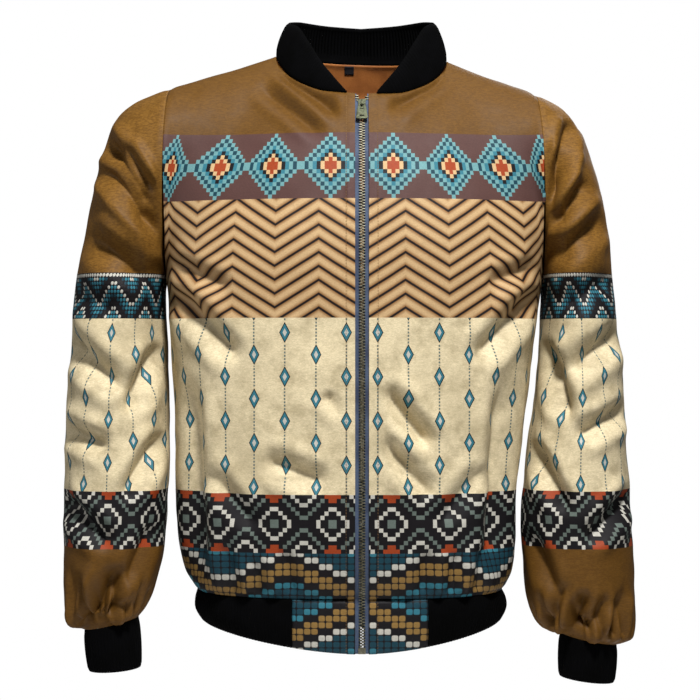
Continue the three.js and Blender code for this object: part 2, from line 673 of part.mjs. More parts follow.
function addCollar() {
  const ribs = Math.round(lengthOf((run) => collarPoint(run, 0.5)) / RIB_PITCH);
  const runs = evenRun((run) => collarPoint(run, 0.5), 2 * ribs);
  const grid = evenly(COLLAR_ROWS).map((rise) => runs.map((run) => collarPoint(run, rise)));
  add('collar', clothWall(grid, COLLAR_WALL, { raise: ribRaise(0) }), BLACK_RIB);
}

// The share of a section at which it lies a given way from the zip line.
function shareAcross(section, side, across) {
  const reach = (across - ZIP_OPENING) / (section[nameOf(side)] - ZIP_OPENING);
  return Math.asin(reach ** (BODY_ROUNDNESS / 2)) * 2 / Math.PI;
}

// The lower edge of the hem rises towards the sides
function hemLift(share, drop) {
  return HEM_SIDE_LIFT * drop * Math.sin(share * Math.PI / 2) ** HEM_LIFT_POWER;
}

// A point of the hem band. Run goes from the right tab round the back to the left tab.
function hemPoint(run, drop) {
  const side = run < 0.5 ? RIGHT : LEFT;
  const height = mix(HEM_SEAM - SEAM_GAP, HEM_BOTTOM, drop);
  const section = hemAt(height);
  const quarter = 2 - 2 * Math.abs(2 * run - 1);
  const start = shareAcross(section, side, TAB_WIDTH[nameOf(side)] + SEAM_GAP);
  const atFront = quarter < 1;
  const share = atFront ? mix(start, 1, quarter) : 2 - quarter;
  const lifted = height + hemLift(share, drop);
  const edge = atFront ? ZIP_OPENING : 0;
  return sectionPoint(section, lifted, side, atFront ? FRONT : BACK, edge, share);
}

function addHemBand() {
  const ribs = Math.round(lengthOf((run) => hemPoint(run, 0.5)) / RIB_PITCH);
  const runs = evenRun((run) => hemPoint(run, 0.5), 2 * ribs);
  const grid = evenly(HEM_ROWS).reverse().map((drop) => runs.map((run) => hemPoint(run, drop)));
  add('hem_band', clothWall(grid, RIB_WALL, { raise: ribRaise(HEM_ROWS) }), BLACK_RIB);
}

function addTab(side) {
  const grid = evenly(TAB_ROWS).reverse().map((drop) => {
    const height = mix(HEM_SEAM - SEAM_GAP, HEM_BOTTOM, drop);
    const section = { ...hemAt(height), front: hemAt(height).front + TAB_PROUD };
    const end = shareAcross(section, side, TAB_WIDTH[nameOf(side)]);
    const row = evenly(TAB_COLUMNS).map((part) => {
      const share = mix(0, end, part);
      return sectionPoint(section, height + hemLift(share, drop), side, FRONT, ZIP_OPENING, share);
    });
    return side === LEFT ? row.reverse() : row;
  });
  add(`hem_tab_${nameOf(side)}`, clothWall(grid, SHELL_WALL), PRINTED_SHELL);
}

// The front edge from hem to neck in the plane of the zip, with the way out of the cloth and the
// next points of the fronts beside it.
function frontLine(leftGrid, rightGrid) {
  const tab = evenly(TAB_ROWS).slice(1).reverse().map((drop) => {
    const height = mix(HEM_SEAM, HEM_BOTTOM, drop);
    return { point: new THREE.Vector3(0, -hemAt(height).front - TAB_PROUD, height) };
  });
  const body = LEVELS.map((level, r) => ({
    point: panelPoint(LEFT, FRONT, ZIP_OPENING, 0, level).setX(0),
    left: leftGrid[r][HALF_COLUMNS - 1],
    right: rightGrid[r][1],
  }));
  const line = [...tab, ...body];
  return line.map((place, i) => {
    const above = line[Math.min(line.length - 1, i + 1)].point;
    const below = line[Math.max(0, i - 1)].point;
    const up = new THREE.Vector3().subVectors(above, below);
    return { ...place, outward: new THREE.Vector3(1, 0, 0).cross(up).normalize() };
  });
}

// A point beside the zip. Past the edge of a front it follows the slope of that front.
function besideZip(place, x) {
  const point = place.point.clone().setX(x);
  const neighbour = x < 0 ? place.left : place.right;
  const reach = Math.abs(x) - ZIP_OPENING;
  if (reach <= 0 || !neighbour) return point;
  const share = reach / (Math.abs(neighbour.x) - ZIP_OPENING);
  point.y += (neighbour.y - place.point.y) * share;
  point.z += (neighbour.z - place.point.z) * share;
  return point;
}

// A strip of the zip through some distances from its middle, between two depths below the cloth.
function stripGeometry(line, edges, outerDepth, innerDepth) {
  const at = (depth) => line.map((place) => edges(place.point.z).map((x) => {
    return besideZip(place, x).addScaledVector(place.outward, -depth);
  }));
  return wallGeometry(at(outerDepth), at(innerDepth), false);
}

function addZip(leftGrid, rightGrid) {
  const line = frontLine(leftGrid, rightGrid);
  const top = line[line.length - 1].point.z;
  const tapeDepth = SHELL_WALL + TAPE_GAP;
  const spread = (z) => TAPE_SPREAD * soften((z - top + TAPE_SPREAD_LENGTH) / TAPE_SPREAD_LENGTH);
  for (const side of [LEFT, RIGHT]) {
    const edges = (z) => {
      const across = [TAPE_INNER + spread(z), ZIP_OPENING + spread(z) / 2, TAPE_OUTER].map((x) => side * x);
      return side === LEFT ? across.reverse() : across;
    };
    const tape = stripGeometry(line, edges, tapeDepth, tapeDepth + TAPE_WALL);
    add(`zip_tape_${nameOf(side)}`, tape, TAPE_CLOTH);
  }
  const slider = placeOn(line, SLIDER_DROP);
  const chainLine = line.filter((place) => place.point.z < slider.point.z - CHAIN_END_ROOM);
  chainLine.push(slider);
  const chainDepth = tapeDepth + (TAPE_WALL - CHAIN_DEPTH) / 2;
  const chainEdges = () => [-CHAIN_HALF_WIDTH, CHAIN_HALF_WIDTH];
  add('zip_chain', stripGeometry(chainLine, chainEdges, chainDepth, chainDepth + CHAIN_DEPTH), TEETH_METAL);
  addSlider(slider, chainDepth);
}

// The place on the front line a given way below its upper end.
function placeOn(line, drop) {
  let left = drop;
  for (let i = line.length - 1; i > 0; i -= 1) {
    const step = line[i].point.distanceTo(line[i - 1].point);
    if (left <= step) {
      const point = line[i].point.clone().lerp(line[i - 1].point, left / step);
      const outward = line[i].outward.clone().lerp(line[i - 1].outward, left / step).normalize();
      return { point, outward };
    }
    left -= step;
  }
  return line[0];
}

const solids = await Module();
solids.setup();

function solidOf(geometry) {
  const bare = geometry.clone();
  bare.deleteAttribute('normal');
  bare.deleteAttribute('uv');
  const merged = mergeVertices(bare, WELD);
  return new solids.Manifold(new solids.Mesh({
    numProp: 3,
    vertProperties: new Float32Array(merged.attributes.position.array),
    triVerts: new Uint32Array(merged.index.array),
  }));
}

function geometryOf(solid) {
  const mesh = solid.getMesh();
  const geometry = new THREE.BufferGeometry();
  geometry.setAttribute('position', new THREE.Float32BufferAttribute(mesh.vertProperties, 3));
  geometry.setIndex(new THREE.Uint32BufferAttribute(mesh.triVerts, 1));
  geometry.computeVertexNormals();
  return geometry;
}

// A plate in the plane of the zip: its outline in x and z, between two depths.
function plateGeometry(shape, outerDepth, wall) {
  const settings = { depth: wall, bevelEnabled: false, curveSegments: CORNER_STEPS };
  const geometry = new THREE.ExtrudeGeometry(shape, settings);
  geometry.rotateX(Math.PI / 2);
  geometry.translate(0, outerDepth + wall, 0);
  return geometry;
}

function roundedShape(topWidth, bottomWidth, top, bottom, radius) {
  const shape = new THREE.Shape();
  shape.moveTo(-topWidth / 2 + radius, top);
  shape.quadraticCurveTo(-topWidth / 2, top, -topWidth / 2, top - radius);
  shape.lineTo(-bottomWidth / 2, bottom + radius);
  shape.quadraticCurveTo(-bottomWidth / 2, bottom, -bottomWidth / 2 + radius, bottom);
  shape.lineTo(bottomWidth / 2 - radius, bottom);
  shape.quadraticCurveTo(bottomWidth / 2, bottom, bottomWidth / 2, bottom + radius);
  shape.lineTo(topWidth / 2, top - radius);
  shape.quadraticCurveTo(topWidth / 2, top, topWidth / 2 - radius, top);
  shape.closePath();
  return shape;
}

function rectangle(halfWidth, top, bottom) {
  const path = new THREE.Path();
  path.moveTo(-halfWidth, top);
  path.lineTo(-halfWidth, bottom);
  path.lineTo(halfWidth, bottom);
  path.lineTo(halfWidth, top);
  path.closePath();
  return path;
}

// The bridge: a flat arch over the slider, in the plane of y and z.
function bridgeGeometry(face) {
  const half = BRIDGE_SPAN / 2;
  const inner = BRIDGE_SPAN / 2 - BRIDGE_BAR;
  const rise = BRIDGE_ROOM + BRIDGE_BAR;
  const arch = new THREE.Shape();
  arch.moveTo(-half, -BRIDGE_SINK);
  arch.quadraticCurveTo(-half, rise, -half + rise, rise);
  arch.lineTo(half - rise, rise);
  arch.quadraticCurveTo(half, rise, half, -BRIDGE_SINK);
  arch.lineTo(inner, -BRIDGE_SINK);
  arch.quadraticCurveTo(inner, BRIDGE_ROOM, inner - BRIDGE_ROOM, BRIDGE_ROOM);
  arch.lineTo(-inner + BRIDGE_ROOM, BRIDGE_ROOM);
  arch.quadraticCurveTo(-inner, BRIDGE_ROOM, -inner, -BRIDGE_SINK);
  arch.closePath();
  const settings = { depth: BRIDGE_WIDTH, bevelEnabled: false, curveSegments: CORNER_STEPS };
  const geometry = new THREE.ExtrudeGeometry(arch, settings);
  geometry.translate(0, 0, -BRIDGE_WIDTH / 2);
  const up = new THREE.Vector3(0, 0, 1);
  const out = new THREE.Vector3(0, -1, 0);
  geometry.applyMatrix4(new THREE.Matrix4().makeBasis(up, out, new THREE.Vector3(1, 0, 0)));
  geometry.translate(0, face, 0);
  return geometry;
}

function addSlider(place, chainDepth) {
  const frame = new THREE.Group();
  frame.position.copy(place.point);
  frame.rotation.x = -Math.asin(place.outward.z);
  jacket.add(frame);
  const innerFace = chainDepth - SLIDER_CLEARANCE;
  const outerFace = innerFace - SLIDER_PLATE;
  const rearFace = chainDepth + CHAIN_DEPTH + SLIDER_CLEARANCE;
  const half = SLIDER_LENGTH / 2;
  const outline = () => roundedShape(SLIDER_WIDTH, SLIDER_WIDTH - SLIDER_TAPER, half, -half, SLIDER_CORNER);
  const postTop = half - POST_TOP_ROOM;
  const post = roundedShape(POST_WIDTH, POST_WIDTH, postTop, CHAIN_END_ROOM / 2, POST_CORNER);
  const body = [
    solidOf(plateGeometry(outline(), outerFace, SLIDER_PLATE)),
    solidOf(plateGeometry(outline(), rearFace, SLIDER_PLATE)),
    solidOf(plateGeometry(post, innerFace - POST_SINK, rearFace - innerFace + 2 * POST_SINK)),
    solidOf(bridgeGeometry(outerFace)),
  ].reduce((whole, piece) => whole.add(piece));
  add('zip_slider', geometryOf(body), PULL_METAL, frame);
  const pull = new THREE.Group();
  pull.position.set(0, outerFace - BRIDGE_ROOM / 2, PULL_AXIS);
  pull.rotation.x = -THREE.MathUtils.degToRad(PULL_LEAN);
  frame.add(pull);
  const bar = PULL_BAR / 2;
  const plate = roundedShape(PULL_TOP_WIDTH, PULL_BOTTOM_WIDTH, bar, bar - PULL_LENGTH, PULL_CORNER);
  plate.holes.push(rectangle(PULL_EYE_WIDTH / 2, -bar, -bar - PULL_EYE_LENGTH));
  const slotTop = bar - PULL_LENGTH + PULL_SLOT_RISE;
  plate.holes.push(rectangle(PULL_SLOT_WIDTH / 2, slotTop, slotTop - PULL_SLOT_LENGTH));
  add('zip_pull', plateGeometry(plate, -PULL_WALL / 2, PULL_WALL), PULL_METAL, pull);
}

// The lining of the upper back: the back's own points round the neck, moved in.
function addLining(backGrid) {
  const rows = backGrid.slice(TOP_ROW - LINING_ROWS);
  const cut = rows.map((row) => row.slice(HALF_COLUMNS - NECK_COLUMNS, HALF_COLUMNS + NECK_COLUMNS + 1));
  const normals = gridNormals(cut, false);
  const depth = SHELL_WALL + SEAM_GAP;
  const face = moved(cut, normals, () => -depth);
  const inside = moved(cut, normals, () => -depth - LINING_WALL);
  add('back_lining', wallGeometry(face, inside, false), LINING_CLOTH);
  return inside;
}

// The label, in the cell of the lining just left of the middle, below the neck seam.
function addLabel(lining) {
  const right = NECK_COLUMNS;
  const left = NECK_COLUMNS + 1;
  const rows = [LINING_ROWS - 1, LINING_ROWS];
  const at = (across, down) => {
    const upper = lining[rows[1]][right].clone().lerp(lining[rows[1]][left], across);
    const lower = lining[rows[0]][right].clone().lerp(lining[rows[0]][left], across);
    return upper.lerp(lower, down);
  };
  const width = lining[rows[1]][right].distanceTo(lining[rows[1]][left]);
  const nearer = (-LABEL_CENTRE - LABEL_WIDTH / 2) / width;
  const further = (-LABEL_CENTRE + LABEL_WIDTH / 2) / width;
  const outer = [LABEL_BOTTOM, LABEL_TOP].map((down) => [at(nearer, down), at(further, down)]);
  const normals = gridNormals(outer, false);
  const face = moved(outer, normals, () => -SEAM_GAP);
  const inside = moved(outer, normals, () => -SEAM_GAP - LABEL_WALL);
  add('size_label', wallGeometry(face, inside, false), LABEL_CLOTH);
}

const leftGrid = addPanel('front_left', FRONT, ZIP_OPENING, halfShares(LEFT, FRONT));
const rightGrid = addPanel('front_right', FRONT, ZIP_OPENING, halfShares(RIGHT, FRONT));
const backGrid = addPanel('back', BACK, 0, [...halfShares(RIGHT, BACK), ...halfShares(LEFT, BACK).slice(1)]);
addSleeve(LEFT, SLEEVE_LEFT);
addSleeve(RIGHT, SLEEVE_RIGHT);
addCollar();
addCuff(LEFT, SLEEVE_LEFT, CUFF_LEFT_EDGE);
addCuff(RIGHT, SLEEVE_RIGHT, CUFF_RIGHT_EDGE);
addHemBand();
addTab(LEFT);
addTab(RIGHT);
addZip(leftGrid, rightGrid);
const lining = addLining(backGrid);
addLabel(lining);

export default jacket;
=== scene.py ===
# A zipped bomber jacket in the hollow form of a worn one, with rib-knit collar, cuffs and hem.
# The tables are in millimetres and the meshes in metres, +Z up. The front faces -Y, and left and
# right are as seen from the front.
import math
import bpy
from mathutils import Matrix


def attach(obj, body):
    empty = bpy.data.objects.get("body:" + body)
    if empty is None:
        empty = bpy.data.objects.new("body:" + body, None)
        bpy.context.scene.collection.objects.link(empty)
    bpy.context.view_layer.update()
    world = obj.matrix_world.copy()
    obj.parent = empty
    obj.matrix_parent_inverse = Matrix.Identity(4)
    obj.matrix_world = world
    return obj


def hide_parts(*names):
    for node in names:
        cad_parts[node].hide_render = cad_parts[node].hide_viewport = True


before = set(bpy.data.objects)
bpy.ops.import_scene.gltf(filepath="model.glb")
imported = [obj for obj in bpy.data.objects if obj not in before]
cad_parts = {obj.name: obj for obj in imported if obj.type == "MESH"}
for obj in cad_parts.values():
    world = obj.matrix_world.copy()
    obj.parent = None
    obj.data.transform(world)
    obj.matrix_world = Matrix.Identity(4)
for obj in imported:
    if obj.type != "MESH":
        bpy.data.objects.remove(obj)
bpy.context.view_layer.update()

from types import SimpleNamespace

import bpy
import numpy as np
from mathutils import Matrix, Vector, noise

MM = 0.001
LEFT, RIGHT = -1, 1
FRONT, BACK = -1, 1
SIDE_NAME = {LEFT: "left", RIGHT: "right"}

# Camera: a square view of the jacket from the front
VIEW_WIDTH = 0.805
VIEW_DISTANCE = 2.4
VIEW_MIDDLE = (-0.0131, -0.331)
SENSOR = 36
FLOOR_HEIGHT = -0.83
SKY_LIGHT = 0.14
FLOOR_REACH = 0.45

# Walls and seams
SHELL_WALL = 1.8
LINING_WALL = 1
RIB_WALL = 2.8
COLLAR_WALL = 3.2
LABEL_WALL = 0.6
SEAM_GAP = 0.3
ARMHOLE_GAP = 0.4

# How far a shell dips into its seams, and how wide the dip is
SEAM_DIP = 1.5
SEAM_DIP_WIDTH = 4.5

# Knit ribs, and how the rib bands swell, fade at their seams and are rounded at their edges
RIB_PITCH = 4
RIB_HEIGHT = 0.8
RIB_FULLNESS = 0.6
RIB_STEPS = 4
PLACES_ON_BAND = 401

RIB_FADE = 0.2
RIB_ROUNDING_START = 0.9
HEM_SWELL = 1.5
HEM_ROUNDING = 1.4
CUFF_SWELL = 1.2
CUFF_ROUNDING = 1.2
COLLAR_ROUNDING = 1.6
COLLAR_ROUNDING_START = 0.86
COLLAR_ROUNDING_SLOPE = 7
COLLAR_SEAM_FADE = 6
COLLAR_TOP_FADE = 8
COLLAR_TOP_RIBS = 0.2

# How far the seam edge of a rib band is tucked in behind the shell, and up
HEM_TUCK_IN = 4.2
CUFF_TUCK_IN = 2.6
TUCK_UP = 4


def smooth_table(columns, rows):
    """Reads any place of a table on smooth lines through its rows. The first column is the place."""
    names = columns.split()[1:]
    places, *values = np.array(rows, float).T
    steps = np.diff(places)

    def slopes(column):
        rates = np.diff(column) / steps
        before, after = rates[:-1], rates[1:]
        turning = before * after <= 0
        whole = np.where(turning, 1, before + after)
        inner = np.where(turning, 0, 2 * before * after / whole)
        return np.concatenate([rates[:1], inner, rates[-1:]])

    column_slopes = [slopes(column) for column in values]

    def read(place):
        place = np.asarray(place, float)
        i = np.clip(np.searchsorted(places, place, side="right") - 1, 0, len(steps) - 1)
        length = steps[i]
        t = np.clip((place - places[i]) / length, 0, 1)
        found = {}
        for name, column, slope in zip(names, values, column_slopes):
            found[name] = hermite(column[i], column[i + 1], slope[i] * length, slope[i + 1] * length, t)
        return SimpleNamespace(**found)

    return read


def hermite(start, end, start_slope, end_slope, t):
    square = t * t
    cube = square * t
    return (
        (2 * cube - 3 * square + 1) * start
        + (3 * square - 2 * cube) * end
        + (cube - 2 * square + t) * start_slope
        + (cube - square) * end_slope
    )


def soften(share):
    kept = np.clip(share, 0, 1)
    return kept * kept * (3 - 2 * kept)


def mix(a, b, share):
    return a + (b - a) * share


# Body: how far its wall lies from the zip line and from the side seams at each height
ARMPIT = -262
HEM_SEAM = -604
BODY_ROUNDNESS = 2.6
body_at = smooth_table("height left right front back", [
    (-604, 188, 161, 122, 110),
    (-596, 193, 166, 127, 114),
    (-582, 201, 172, 132, 119),
    (-560, 207, 175, 136, 124),
    (-530, 211, 175.5, 139, 127),
    (-480, 212.5, 178, 141, 129),
    (-400, 214, 188, 142, 129),
    (-330, 218, 197, 143, 129),
    (-262, 222.5, 205.5, 143, 129),
])

# Shoulder points, where the shoulder seam meets the armhole
SHOULDER = {LEFT: (219, -31), RIGHT: (199, -38)}
SHOULDER_SAG = 1.5

# How a panel's thread lines rise from the armpit level to its top edge. Share 0 is the centre line
# and share 1 the armhole edge. The four others are lengths of the tangents at the two ends.
rise_at = smooth_table("share bottom_out bottom_up top_in top_up", [
    (0, 4, 260, 110, 190),
    (0.3, 10, 300, 150, 150),
    (0.55, 30, 330, 230, 60),
    (0.8, 110, 330, 310, 30),
    (0.93, 220, 200, 370, 25),
    (1, 310, 160, 420, 20),
])
BACK_FULLNESS = 0.9

# Neck seam, by the angle round the neck from its front centre
NECK_HALF_WIDTH = 98
NECK_FRONT = 85
NECK_BACK = 80
NECK_TILT = 3
NECK_SHARE = 0.5
neck_height_at = smooth_table("angle height", [
    (0, -46), (24, -43), (45, -32), (70, -12), (90, 5), (112, 9), (180, 9),
])

# Upper edge of the collar, by the same angle: it falls to a point beside the zip
COLLAR_TIP = 10
COLLAR_SWELL = 2.5
COLLAR_SWELL_START = 30
COLLAR_TUCK_IN = 0.975
COLLAR_TUCK_DOWN = 3
rim_at = smooth_table("angle x y height", [
    (10, 17.8, -83, -42),
    (24, 31, -76, -26),
    (42, 47, -64, -5),
    (56, 60, -49, 17),
    (70, 73, -31, 37),
    (85, 83, -9, 43.5),
    (105, 85, 19, 49),
    (130, 69, 46, 53),
    (155, 38, 66, 51.5),
    (180, 0, 73, 49.7),
])

# Sleeves: outer and inner line in the front view, half depths to front and back, and the
# forward place of the section's middle. The last row is the cuff seam.
SLEEVE_COLUMNS = "share out_x out_z in_x in_z front back forward"
SLEEVES = {
    LEFT: smooth_table(SLEEVE_COLUMNS, [
        (0, 219.4, -31, 223, -262, 98, 90, 0),
        (0.04, 238, -38.5, 225, -266, 97, 90, 0),
        (0.08, 260, -48.5, 226, -270, 95, 89, 0),
        (0.12, 279, -65, 226, -275, 93, 88, 0),
        (0.17, 291.5, -90, 225.5, -282, 90, 87, 1),
        (0.23, 301, -124, 225, -292, 87, 85, 2),
        (0.3, 310, -166, 224, -306, 84, 83, 3),
        (0.38, 320, -221, 223, -328, 81, 80, 4),
        (0.46, 328, -276, 222, -357, 79, 77, 6),
        (0.54, 332, -331, 221, -393, 77, 75, 9),
        (0.62, 335.5, -386, 220, -432, 75, 73, 12),
        (0.7, 338.6, -442, 219.5, -472, 72, 71, 15),
        (0.78, 339.5, -495, 221, -510, 70, 69, 18),
        (0.85, 339, -545, 225, -548, 68, 66, 20),
        (0.91, 338.5, -590, 231, -585, 65, 62, 22),
        (0.95, 336.5, -624, 238, -611, 59, 56, 23),
        (0.98, 329, -643, 247, -627, 49, 46, 24),
        (1, 315, -648, 254, -634, 37, 36, 24),
    ]),
    RIGHT: smooth_table(SLEEVE_COLUMNS, [
        (0, 199.4, -38, 206, -262, 98, 90, 0),
        (0.04, 215, -45, 208, -266, 97, 90, 0),
        (0.08, 230, -55, 209, -270, 95, 89, 0),
        (0.12, 244, -72, 209, -275, 93, 88, 0),
        (0.17, 257.5, -97, 208.5, -282, 90, 87, 1),
        (0.23, 268, -131, 207, -292, 87, 85, 2),
        (0.3, 276, -168, 205.5, -306, 84, 83, 3),
        (0.38, 284, -221, 203.5, -328, 81, 80, 4),
        (0.46, 290, -276, 201, -357, 79, 77, 6),
        (0.54, 296, -331, 196.5, -393, 77, 75, 9),
        (0.62, 300, -386, 191, -432, 75, 73, 12),
        (0.7, 302.5, -442, 186, -472, 72, 71, 15),
        (0.78, 306, -500, 182.5, -510, 70, 69, 18),
        (0.85, 309, -553, 183, -552, 68, 66, 20),
        (0.91, 309.5, -597, 184, -592, 65, 62, 22),
        (0.95, 312, -634, 190, -624, 59, 56, 23),
        (0.98, 309, -657, 204, -645, 49, 46, 24),
        (1, 290, -665, 226, -652, 37, 36, 24),
    ]),
}
SLEEVE_BLEND = 0.16
CUFF_EDGES = {
    LEFT: (310, -695, 251, -691, 35, 34, 25),
    RIGHT: (287, -708, 225, -701, 35, 34, 25),
}

# Hem band and the plain tabs beside the zip
hem_at = smooth_table("height left right front back", [
    (-664, 181, 158, 117, 106),
    (-632, 188.5, 164, 121, 110),
    (-604, 188, 161, 121, 110),
])
HEM_BOTTOM = -664
HEM_SIDE_LIFT = 26
HEM_LIFT_POWER = 1.2
TAB_PROUD = 1
TAB_OVERLAP = 1.4
TAB_WIDTH = {LEFT: 76, RIGHT: 72}
TAB_OUTER_DIP = 0.4
TAB_HEM_DIP = 0.6

# Zip: half width of the opening between the fronts, and its parts
ZIP_OPENING = 7.5
TAPE_INNER = 1.6
TAPE_OUTER = 12
TAPE_WALL = 1
TAPE_GAP = 0.5
TAPE_SPREAD = 4.5
TAPE_SPREAD_LENGTH = 22
SLIDER_DROP = 15
TOOTH_PITCH = 3.2
TOOTH_SIZE = (4.1, 2.6, 1.35)
TOOTH_MIDDLE = 1.55
TOOTH_BEVEL = 0.32
STOP_SIZE = (8.4, 3.6, 7)
STOP_BEVEL = 0.6
SLIDER_HALF_LENGTH = 5
TOOTHLESS_END = 2
ACROSS = np.array([1.0, 0, 0])

# Hard pieces: edges turning less than the flat angle vanish, and less than the round one look smooth
FLAT_ANGLE = 4
ROUND_ANGLE = 35
BLOCK_ANGLE = 40

# Placket: the doubled cloth beside the zip and its line of stitches
PLACKET_WIDTH = 9.8
PLACKET_RAISE = 0.7
PLACKET_RAISE_EDGE = 0.6
PLACKET_GROOVE = 0.7
PLACKET_GROOVE_WIDTH = 0.9
PLACKET_STEP = 1.1
PLACKET_MARGIN = 4
STITCH_PITCH = 3.3
STITCH_SIZE = (0.42, 0.34, 1.15)

# Lining of the upper back, and the bare label on it
LINING_BOTTOM_LEVEL = 1.42
LABEL_LEFT, LABEL_RIGHT = -19.5, -8.5
LABEL_LOW, LABEL_HIGH = -4, 5
LABEL_ROWS, LABEL_COLUMNS = 8, 9

# Creases of each face in the front view: from one x and z to another, half width and depth.
# A negative depth is a trough.
CREASES = {
    ("sleeve", LEFT): {
        FRONT: [
            ((-292, -92), (-229, -172), 9, -18),
            ((-290, -128), (-229, -194), 9, -19),
            ((-306, -205), (-236, -252), 12, -13),
            ((-262, -104), (-232, -152), 6, -10),
            ((-334, -262), (-276, -290), 11, -7),
            ((-334, -322), (-266, -372), 12, -14),
            ((-228, -330), (-258, -396), 9, -15),
            ((-338, -420), (-284, -438), 10, -12),
            ((-226, -430), (-262, -492), 9, -14),
            ((-336, -500), (-280, -544), 10, -14),
            ((-234, -530), (-258, -588), 8, -9),
            ((-312, -646), (-316, -586), 6, -12),
            ((-306, -648), (-274, -578), 11, -20),
            ((-292, -644), (-262, -612), 6, -11),
            ((-286, -650), (-258, -634), 5, -8),
        ],
        BACK: [
            ((-292, -104), (-232, -186), 10, -18),
            ((-296, -150), (-234, -220), 9, -14),
            ((-322, -300), (-244, -330), 11, -8),
            ((-318, -400), (-250, -372), 12, -12),
            ((-330, -470), (-262, -520), 10, -9),
        ],
    },
    ("sleeve", RIGHT): {
        FRONT: [
            ((236, -76), (226, -115), 8, -13),
            ((228, -110), (202, -172), 8, -19),
            ((252, -146), (214, -190), 9, -14),
            ((268, -186), (214, -228), 11, -12),
            ((282, -250), (224, -282), 11, -8),
            ((292, -312), (230, -352), 12, -14),
            ((206, -326), (228, -404), 9, -15),
            ((298, -398), (240, -426), 10, -12),
            ((192, -440), (226, -506), 9, -14),
            ((304, -494), (250, -540), 10, -14),
            ((190, -540), (214, -600), 8, -9),
            ((236, -656), (248, -604), 9, -18),
            ((248, -648), (274, -608), 7, -13),
            ((282, -654), (290, -606), 6, -13),
            ((212, -640), (222, -596), 6, -9),
        ],
        BACK: [
            ((270, -110), (214, -186), 10, -18),
            ((276, -160), (216, -224), 9, -14),
            ((284, -310), (212, -338), 11, -8),
            ((292, -410), (222, -380), 12, -12),
            ((300, -480), (232, -530), 10, -9),
        ],
    },
    ("front", LEFT): {
        FRONT: [
            ((-84, -18), (-28, -68), 9, -10),
            ((-110, -38), (-48, -90), 8, -7),
            ((-208, -236), (-150, -262), 9, -8),
            ((-205, -272), (-140, -336), 11, -12),
            ((-40, -380), (-20, -402), 7, -7),
            ((-104, -452), (-44, -474), 11, -11),
            ((-192, -380), (-184, -570), 12, -15),
            ((-168, -466), (-116, -524), 10, -8),
            ((-150, -548), (-140, -600), 8, -7),
            ((-118, -560), (-112, -600), 7, -6),
            ((-84, -552), (-76, -600), 8, -7),
        ],
    },
    ("front", RIGHT): {
        FRONT: [
            ((88, -22), (34, -64), 9, -7),
            ((192, -238), (142, -258), 9, -8),
            ((192, -272), (128, -338), 11, -12),
            ((24, -374), (72, -434), 10, -15),
            ((22, -430), (72, -486), 10, -12),
            ((156, -380), (148, -570), 12, -15),
            ((132, -462), (88, -516), 10, -8),
            ((134, -548), (128, -600), 8, -7),
            ((104, -556), (98, -600), 7, -6),
            ((72, -552), (66, -600), 8, -7),
        ],
    },
    ("back", BACK): {
        BACK: [
            ((-190, -250), (-110, -170), 12, -9),
            ((180, -250), (100, -170), 12, -9),
            ((-30, -60), (40, -64), 15, -7),
            ((-170, -300), (-120, -420), 13, -13),
            ((160, -300), (110, -420), 13, -13),
            ((-200, -400), (-192, -560), 12, -13),
            ((168, -400), (162, -560), 12, -13),
            ((-60, -480), (-40, -584), 12, -10),
            ((70, -470), (84, -584), 12, -10),
            ((-150, -520), (-140, -600), 9, -8),
            ((-100, -540), (-92, -600), 8, -7),
            ((20, -540), (16, -600), 8, -7),
            ((130, -520), (126, -600), 9, -8),
        ],
    },
}
CREASE_FADE = 3
CREASE_FADE_START = 0.5
CREASE_TURN = 2
CREASE_FREE = 18
CREASE_SHARPNESS = 1.5
CREASE_LIP = 0.35
CREASE_LIP_PLACE = 2
CREASE_LIP_WIDTH = 0.9

# Gathers of a sleeve above its cuff: angle round the sleeve, reach up it, width and depth
GATHER_START = 14
GATHERS = [
    (8, 54, 5, -8), (26, 36, 4, -5), (42, 82, 6, -13), (60, 42, 4, -6), (76, 66, 5, -10),
    (92, 38, 4, -6), (106, 92, 6, -14), (124, 46, 4, -6), (140, 62, 5, -11), (160, 42, 5, -6),
    (180, 68, 6, -11), (200, 40, 4, -6), (216, 84, 6, -12), (236, 42, 4, -6), (254, 62, 5, -10),
    (270, 38, 4, -5), (286, 76, 6, -12), (306, 44, 4, -6), (325, 66, 5, -10), (344, 38, 4, -5),
]
GATHER_MM_PER_DEGREE = 1.05

# Small unevenness of worn cloth: where its waves start, how large they are, and how high
FRONT_SEED = {LEFT: 2, RIGHT: 4}
SLEEVE_SEED = {LEFT: 4, RIGHT: 6}
BACK_SEED = 9
WAVE_SHIFT = Vector((7.3, 3.1, 5.7))
WAVE_SIZE = 60
FINE_WAVE_SIZE = 22
PANEL_WAVE = 1.9
SLEEVE_WAVE = 2.4
FINE_WAVE = 0.7

# How far from a seam creases and waves reach their full depth
PANEL_EASE = 12
ARMHOLE_EASE = 14
CUFF_EASE = 5

# How a panel is rounded off below the neck's corner
EASE_REACH = 30
EASE_ROUNDS = 60

# Rows and columns of the cloth grids
PANEL_COLUMNS = 96
LOW_ROWS = 112
HIGH_ROWS = 78
ROW_CROWDING = 1.2
SLEEVE_ROUND = 190
SLEEVE_LENGTH_ROWS = 200
RIB_ROWS = 12
TAB_COLUMNS = 20
TAB_ROWS = 17
TAPE_ROWS = 260
TAPE_COLUMNS = 6
ZIP_ROWS_ON_TAB = 12


